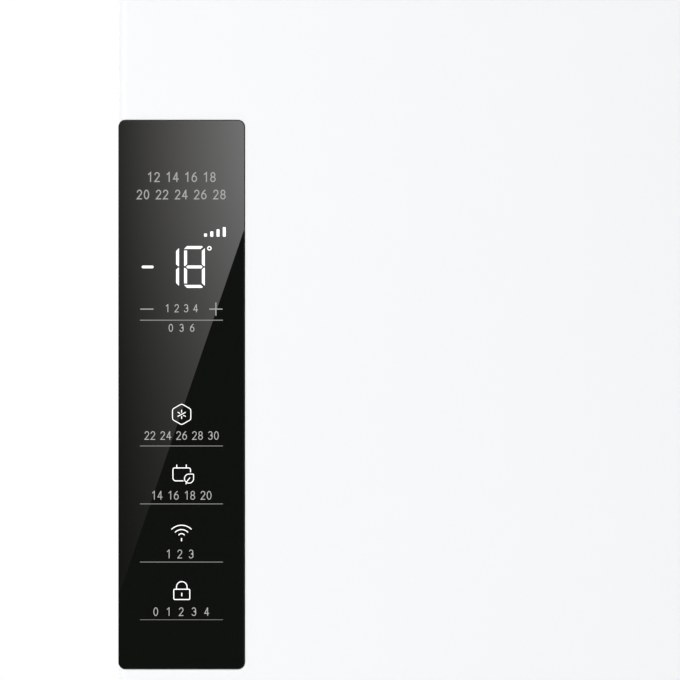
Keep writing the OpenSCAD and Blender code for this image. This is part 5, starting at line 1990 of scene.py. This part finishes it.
@dataclass
class Studio:
    """Camera, floor, world, lamps and the dark screen that the display mirrors.

    Attributes:
        model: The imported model.
        lens: Focal length in millimetres.
        sensor: Width of the camera's sensor in millimetres.
        far: Distance up to which the camera sees.
        distance: From the camera to the door's front.
        view_x: Middle of the view, from the display's left edge.
        view_drop: Middle of the view, below the display's top edge.
        screen_distance: From the door's front to the lit field behind the camera.
        screen_gap: From the field back to the dark screen.
        surround: Light of the surround on painted and plastic faces.
        floor_glow: Share of the floor's white that doesn't come from the lamps.
        floor_reach: Half of the floor's side.
        rim_across: From the display to the screen's side, as a share of the display's width.
        rim_along: From the display to the screen's top, as a share of its height.
        lit_rim: Share of that side by which the lit field passes the display.
        top_cut: Where the field's edge meets the display's right edge, from its top.
        foot_cut: Where it meets the left edge.
        screen_light: Light of the dark screen.
        field_light: Light of the field: at the left edge, its rise to the right and the rise's bend.
        field_fade: How fast that light falls downwards.
    """

    model: Model
    lens: float = 100.0
    sensor: float = 36.0
    far: float = 60.0
    distance: float = 0.892
    view_x: float = 104.7 * MM
    view_drop: float = 103.7 * MM
    screen_distance: float = 1.6
    screen_gap: float = 0.02
    surround: float = 0.6
    floor_glow: float = 0.55
    floor_reach: float = 5.0
    rim_across: float = 0.5
    rim_along: float = 0.12
    lit_rim: float = 0.3
    top_cut: float = 51.24 * MM
    foot_cut: float = 225.2 * MM
    screen_light: float = 0.03
    field_light: tuple[float, float, float] = (0.43, 2.55, 0.95)
    field_fade: float = 5.95

    def __post_init__(self) -> None:
        """Places the camera's axis from the display."""
        low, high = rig.box("panel_glass")
        self.panel_low, self.panel_high = low, high
        self.eye = Vector((low.x + self.view_x, low.y - self.distance, high.z - self.view_drop))

    def camera(self) -> None:
        """Camera that looks straight at the door's upper left part."""
        data = bpy.data.cameras.new("camera")
        data.type = "PERSP"
        data.lens = self.lens
        data.sensor_width = self.sensor
        data.clip_end = self.far
        holder = bpy.data.objects.new("camera", data)
        holder.location = self.eye
        holder.rotation_euler = (math.radians(90), 0, 0)
        bpy.context.scene.collection.objects.link(holder)
        bpy.context.scene.camera = holder

    @staticmethod
    def seen_directly(tree: bpy.types.ShaderNodeTree) -> bpy.types.NodeSocket:
        """Mask of 1 for rays from the camera, from gloss and through glass.

        Args:
            tree: The tree it goes in.

        Returns:
            The socket that gives it.
        """
        path = tree.nodes.new("ShaderNodeLightPath")
        calc = EffectLibrary.math_node
        either = calc(tree, "MAXIMUM", path.outputs["Is Camera Ray"], path.outputs["Is Glossy Ray"])
        both = calc(tree, "MAXIMUM", either.outputs[0], path.outputs["Is Transmission Ray"])
        return both.outputs[0]

    def world(self) -> None:
        """White surround for the camera, glass and metal, and a softer light for the rest."""
        world = bpy.data.worlds.new("studio")
        world.use_nodes = True
        tree = world.node_tree
        tree.nodes.clear()
        mix = tree.nodes.new("ShaderNodeMixShader")
        tree.links.new(self.seen_directly(tree), mix.inputs[0])
        for i, strength in ((1, self.surround), (2, 1.0)):
            light = tree.nodes.new("ShaderNodeBackground")
            light.inputs["Color"].default_value = PURE_WHITE
            light.inputs["Strength"].default_value = strength
            tree.links.new(light.outputs[0], mix.inputs[i])
        out = tree.nodes.new("ShaderNodeOutputWorld")
        tree.links.new(mix.outputs[0], out.inputs["Surface"])
        bpy.context.scene.world = world
        bpy.context.scene.view_settings.view_transform = "Standard"

    def lamp(self, name: str, place: Place, target: Place, size: float, power: float) -> None:
        """Square soft lamp.

        Args:
            name: Its name.
            place: Where it hangs.
            target: Where it points.
            size: Length of its side.
            power: Its power in watts.
        """
        data = bpy.data.lights.new(name, "AREA")
        data.size = size
        data.energy = power
        holder = bpy.data.objects.new(name, data)
        holder.location = place
        aim = Vector(target) - Vector(place)
        holder.rotation_euler = aim.to_track_quat("-Z", "Y").to_euler()
        holder.visible_glossy = False
        bpy.context.scene.collection.objects.link(holder)

    def lamps(self) -> None:
        """Key from the left, fill from the right and two weaker lamps at the rear."""
        self.lamp("key", (-1.34, -2.12, 1.3), (-0.3, -0.3, 1.2), 1.3, 19.5)
        self.lamp("fill", (2.6, -2.8, 1.6), (0.2, -0.3, 0.9), 1.8, 9.0)
        self.lamp("rear_left", (-2.4, 2.6, 2.2), (0.0, 0.3, 0.8), 1.8, 20.0)
        self.lamp("rear_right", (2.6, 2.4, 2.0), (0.0, 0.3, 0.8), 1.8, 15.0)

    def floor(self) -> None:
        """Plain pale floor that the eye, glass and metal see as white, apart from the shadow on it."""
        graph = Graph("studio floor")
        colour = graph.effect(Effect.DRIFT, Colour=tint(236, 236, 235), Amount=0.01)
        graph.drive("Base Color", colour.outputs["Colour"])
        graph.set(Roughness=0.9, Specular_IOR_Level=0.1, Emission_Color=PURE_WHITE)
        seen = self.seen_directly(graph.tree)
        glow = EffectLibrary.math_node(graph.tree, "MULTIPLY", seen, self.floor_glow)
        graph.drive("Emission Strength", glow.outputs[0])
        data = bpy.data.meshes.new("floor")
        half = self.floor_reach
        corners = [(-half, -half, 0), (half, -half, 0), (half, half, 0), (-half, half, 0)]
        data.from_pydata(corners, [], [(0, 1, 2, 3)])
        data.materials.append(graph.material)
        plane = bpy.data.objects.new("floor", data)
        bpy.context.scene.collection.objects.link(plane)
        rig.stage(plane)

    def mirrored(self, point: Vector, distance: float) -> Vector:
        """Where the camera sees a plane behind it in the display.

        Args:
            point: Point of the glass.
            distance: From the glass to the plane.

        Returns:
            Point of the plane.
        """
        ray = point - self.eye
        share = distance / self.distance
        return Vector((point.x + ray.x * share, point.y - distance, point.z + ray.z * share))

    def screen(self) -> None:
        """Dark screen behind the camera with a lit field whose slanted edge crosses the display."""
        low, high = self.panel_low, self.panel_high
        width, height = high.x - low.x, high.z - low.z
        rim_x, rim_z = width * self.rim_across, height * self.rim_along
        left, right = low.x - rim_x, high.x + rim_x
        bottom, top = low.z - rim_z, high.z + rim_z
        dark = [(left, bottom), (right, bottom), (right, top), (left, top)]
        slope = width / (self.foot_cut - self.top_cut)
        past = self.lit_rim * rim_x
        lit = [
            (left, top),
            (left, high.z - self.foot_cut - rim_x / slope),
            (high.x + past, high.z - self.top_cut + past / slope),
            (high.x + past, top),
        ]
        self.card("dark_screen", dark, self.screen_distance + self.screen_gap, self.plain_card())
        self.card("lit_field", lit, self.screen_distance, self.graded_card())

    def card(
        self, name: str, outline: Sequence[Point], distance: float, material: bpy.types.Material
    ) -> None:
        """Card that only gloss can see, placed by its mirror image in the display.

        Args:
            name: Its name.
            outline: Corners of its image on the glass.
            distance: From the glass to the card.
            material: Its material.
        """
        data = bpy.data.meshes.new(name)
        y = self.panel_low.y
        corners = [self.mirrored(Vector((x, y, z)), distance) for x, z in outline]
        data.from_pydata([tuple(c) for c in corners], [], [tuple(range(len(corners)))])
        data.materials.append(material)
        plane = bpy.data.objects.new(name, data)
        for ray in ("camera", "diffuse", "transmission", "shadow", "volume_scatter"):
            setattr(plane, "visible_" + ray, False)
        bpy.context.scene.collection.objects.link(plane)
        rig.stage(plane)

    def plain_card(self) -> bpy.types.Material:
        """Material of the evenly lit dark screen.

        Returns:
            The new material.
        """
        graph = Graph("dark screen")
        graph.set(Base_Color=BLACK, Roughness=1.0, Specular_IOR_Level=0.0)
        graph.set(Emission_Color=PURE_WHITE, Emission_Strength=self.screen_light)
        return graph.material

    def graded_card(self) -> bpy.types.Material:
        """Material whose light rises to the display's right edge and fades downwards.

        Returns:
            The new material.
        """
        graph = Graph("lit field")
        tree = graph.tree
        start = self.mirrored(self.panel_low, self.screen_distance)
        end = self.mirrored(self.panel_high, self.screen_distance)
        coords = tree.nodes.new("ShaderNodeTexCoord")
        split = tree.nodes.new("ShaderNodeSeparateXYZ")
        tree.links.new(coords.outputs["Object"], split.inputs[0])
        across = EffectLibrary.ramp(tree, split.outputs["X"], start.x, end.x).outputs[0]
        down = EffectLibrary.ramp(tree, split.outputs["Z"], end.z, start.z).outputs[0]
        calc = EffectLibrary.math_node
        square = calc(tree, "MULTIPLY", across, across).outputs[0]
        least, slope, curve = self.field_light
        rise = calc(tree, "MULTIPLY", across, slope).outputs[0]
        bend = calc(tree, "MULTIPLY", square, curve).outputs[0]
        level = calc(tree, "ADD", calc(tree, "ADD", rise, bend).outputs[0], least).outputs[0]
        deep = calc(tree, "MULTIPLY", down, down).outputs[0]
        depth = calc(tree, "MULTIPLY", deep, self.field_fade).outputs[0]
        fade = calc(tree, "ADD", depth, 1.0).outputs[0]
        total = calc(tree, "DIVIDE", level, fade).outputs[0]
        graph.set(Base_Color=BLACK, Roughness=1.0, Specular_IOR_Level=0.0, Emission_Strength=1.0)
        warm_left, plain_right = (1.03, 0.985, 0.94, 1.0), (1.0, 0.995, 1.0, 1.0)
        warmth = tree.nodes.new("ShaderNodeMix")
        warmth.data_type = "RGBA"
        tree.links.new(across, warmth.inputs[0])
        warmth.inputs[6].default_value = warm_left
        warmth.inputs[7].default_value = plain_right
        light = EFFECTS.scaled_colour(tree, warmth.outputs[2], total)
        graph.drive("Emission Color", light.outputs[0])
        return graph.material

    def build(self) -> None:
        """Sets up the whole studio."""
        self.world()
        self.lamps()
        self.floor()
        self.screen()


def write_sizes(model: Model) -> None:
    """Writes the model's box and the dressed piece's box as plain lists of numbers.

    Args:
        model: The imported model.
    """
    boxes = {
        "cad": [list(corner) for corner in model.box],
        "visual": [list(corner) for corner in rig.bounds()],
    }
    with open(SIZE_FILE, "w", encoding="utf-8") as out:
        json.dump(boxes, out)
    LOG.info("sizes %s", boxes)


def main() -> None:
    """Loads the model, sets up the camera and builds each sub-assembly in order."""
    logging.basicConfig(level=logging.INFO, format="%(name)s: %(message)s")
    model = Model()
    studio = Studio(model)
    studio.camera()
    for part in (Cabinet(model), Interior(model), Bins(model), Cooling(model), Ground(model), Door(model)):
        LOG.info("sub-assembly %s", type(part).__name__)
        part.build()
    studio.build()
    write_sizes(model)


if __name__ == "__main__":
    main()
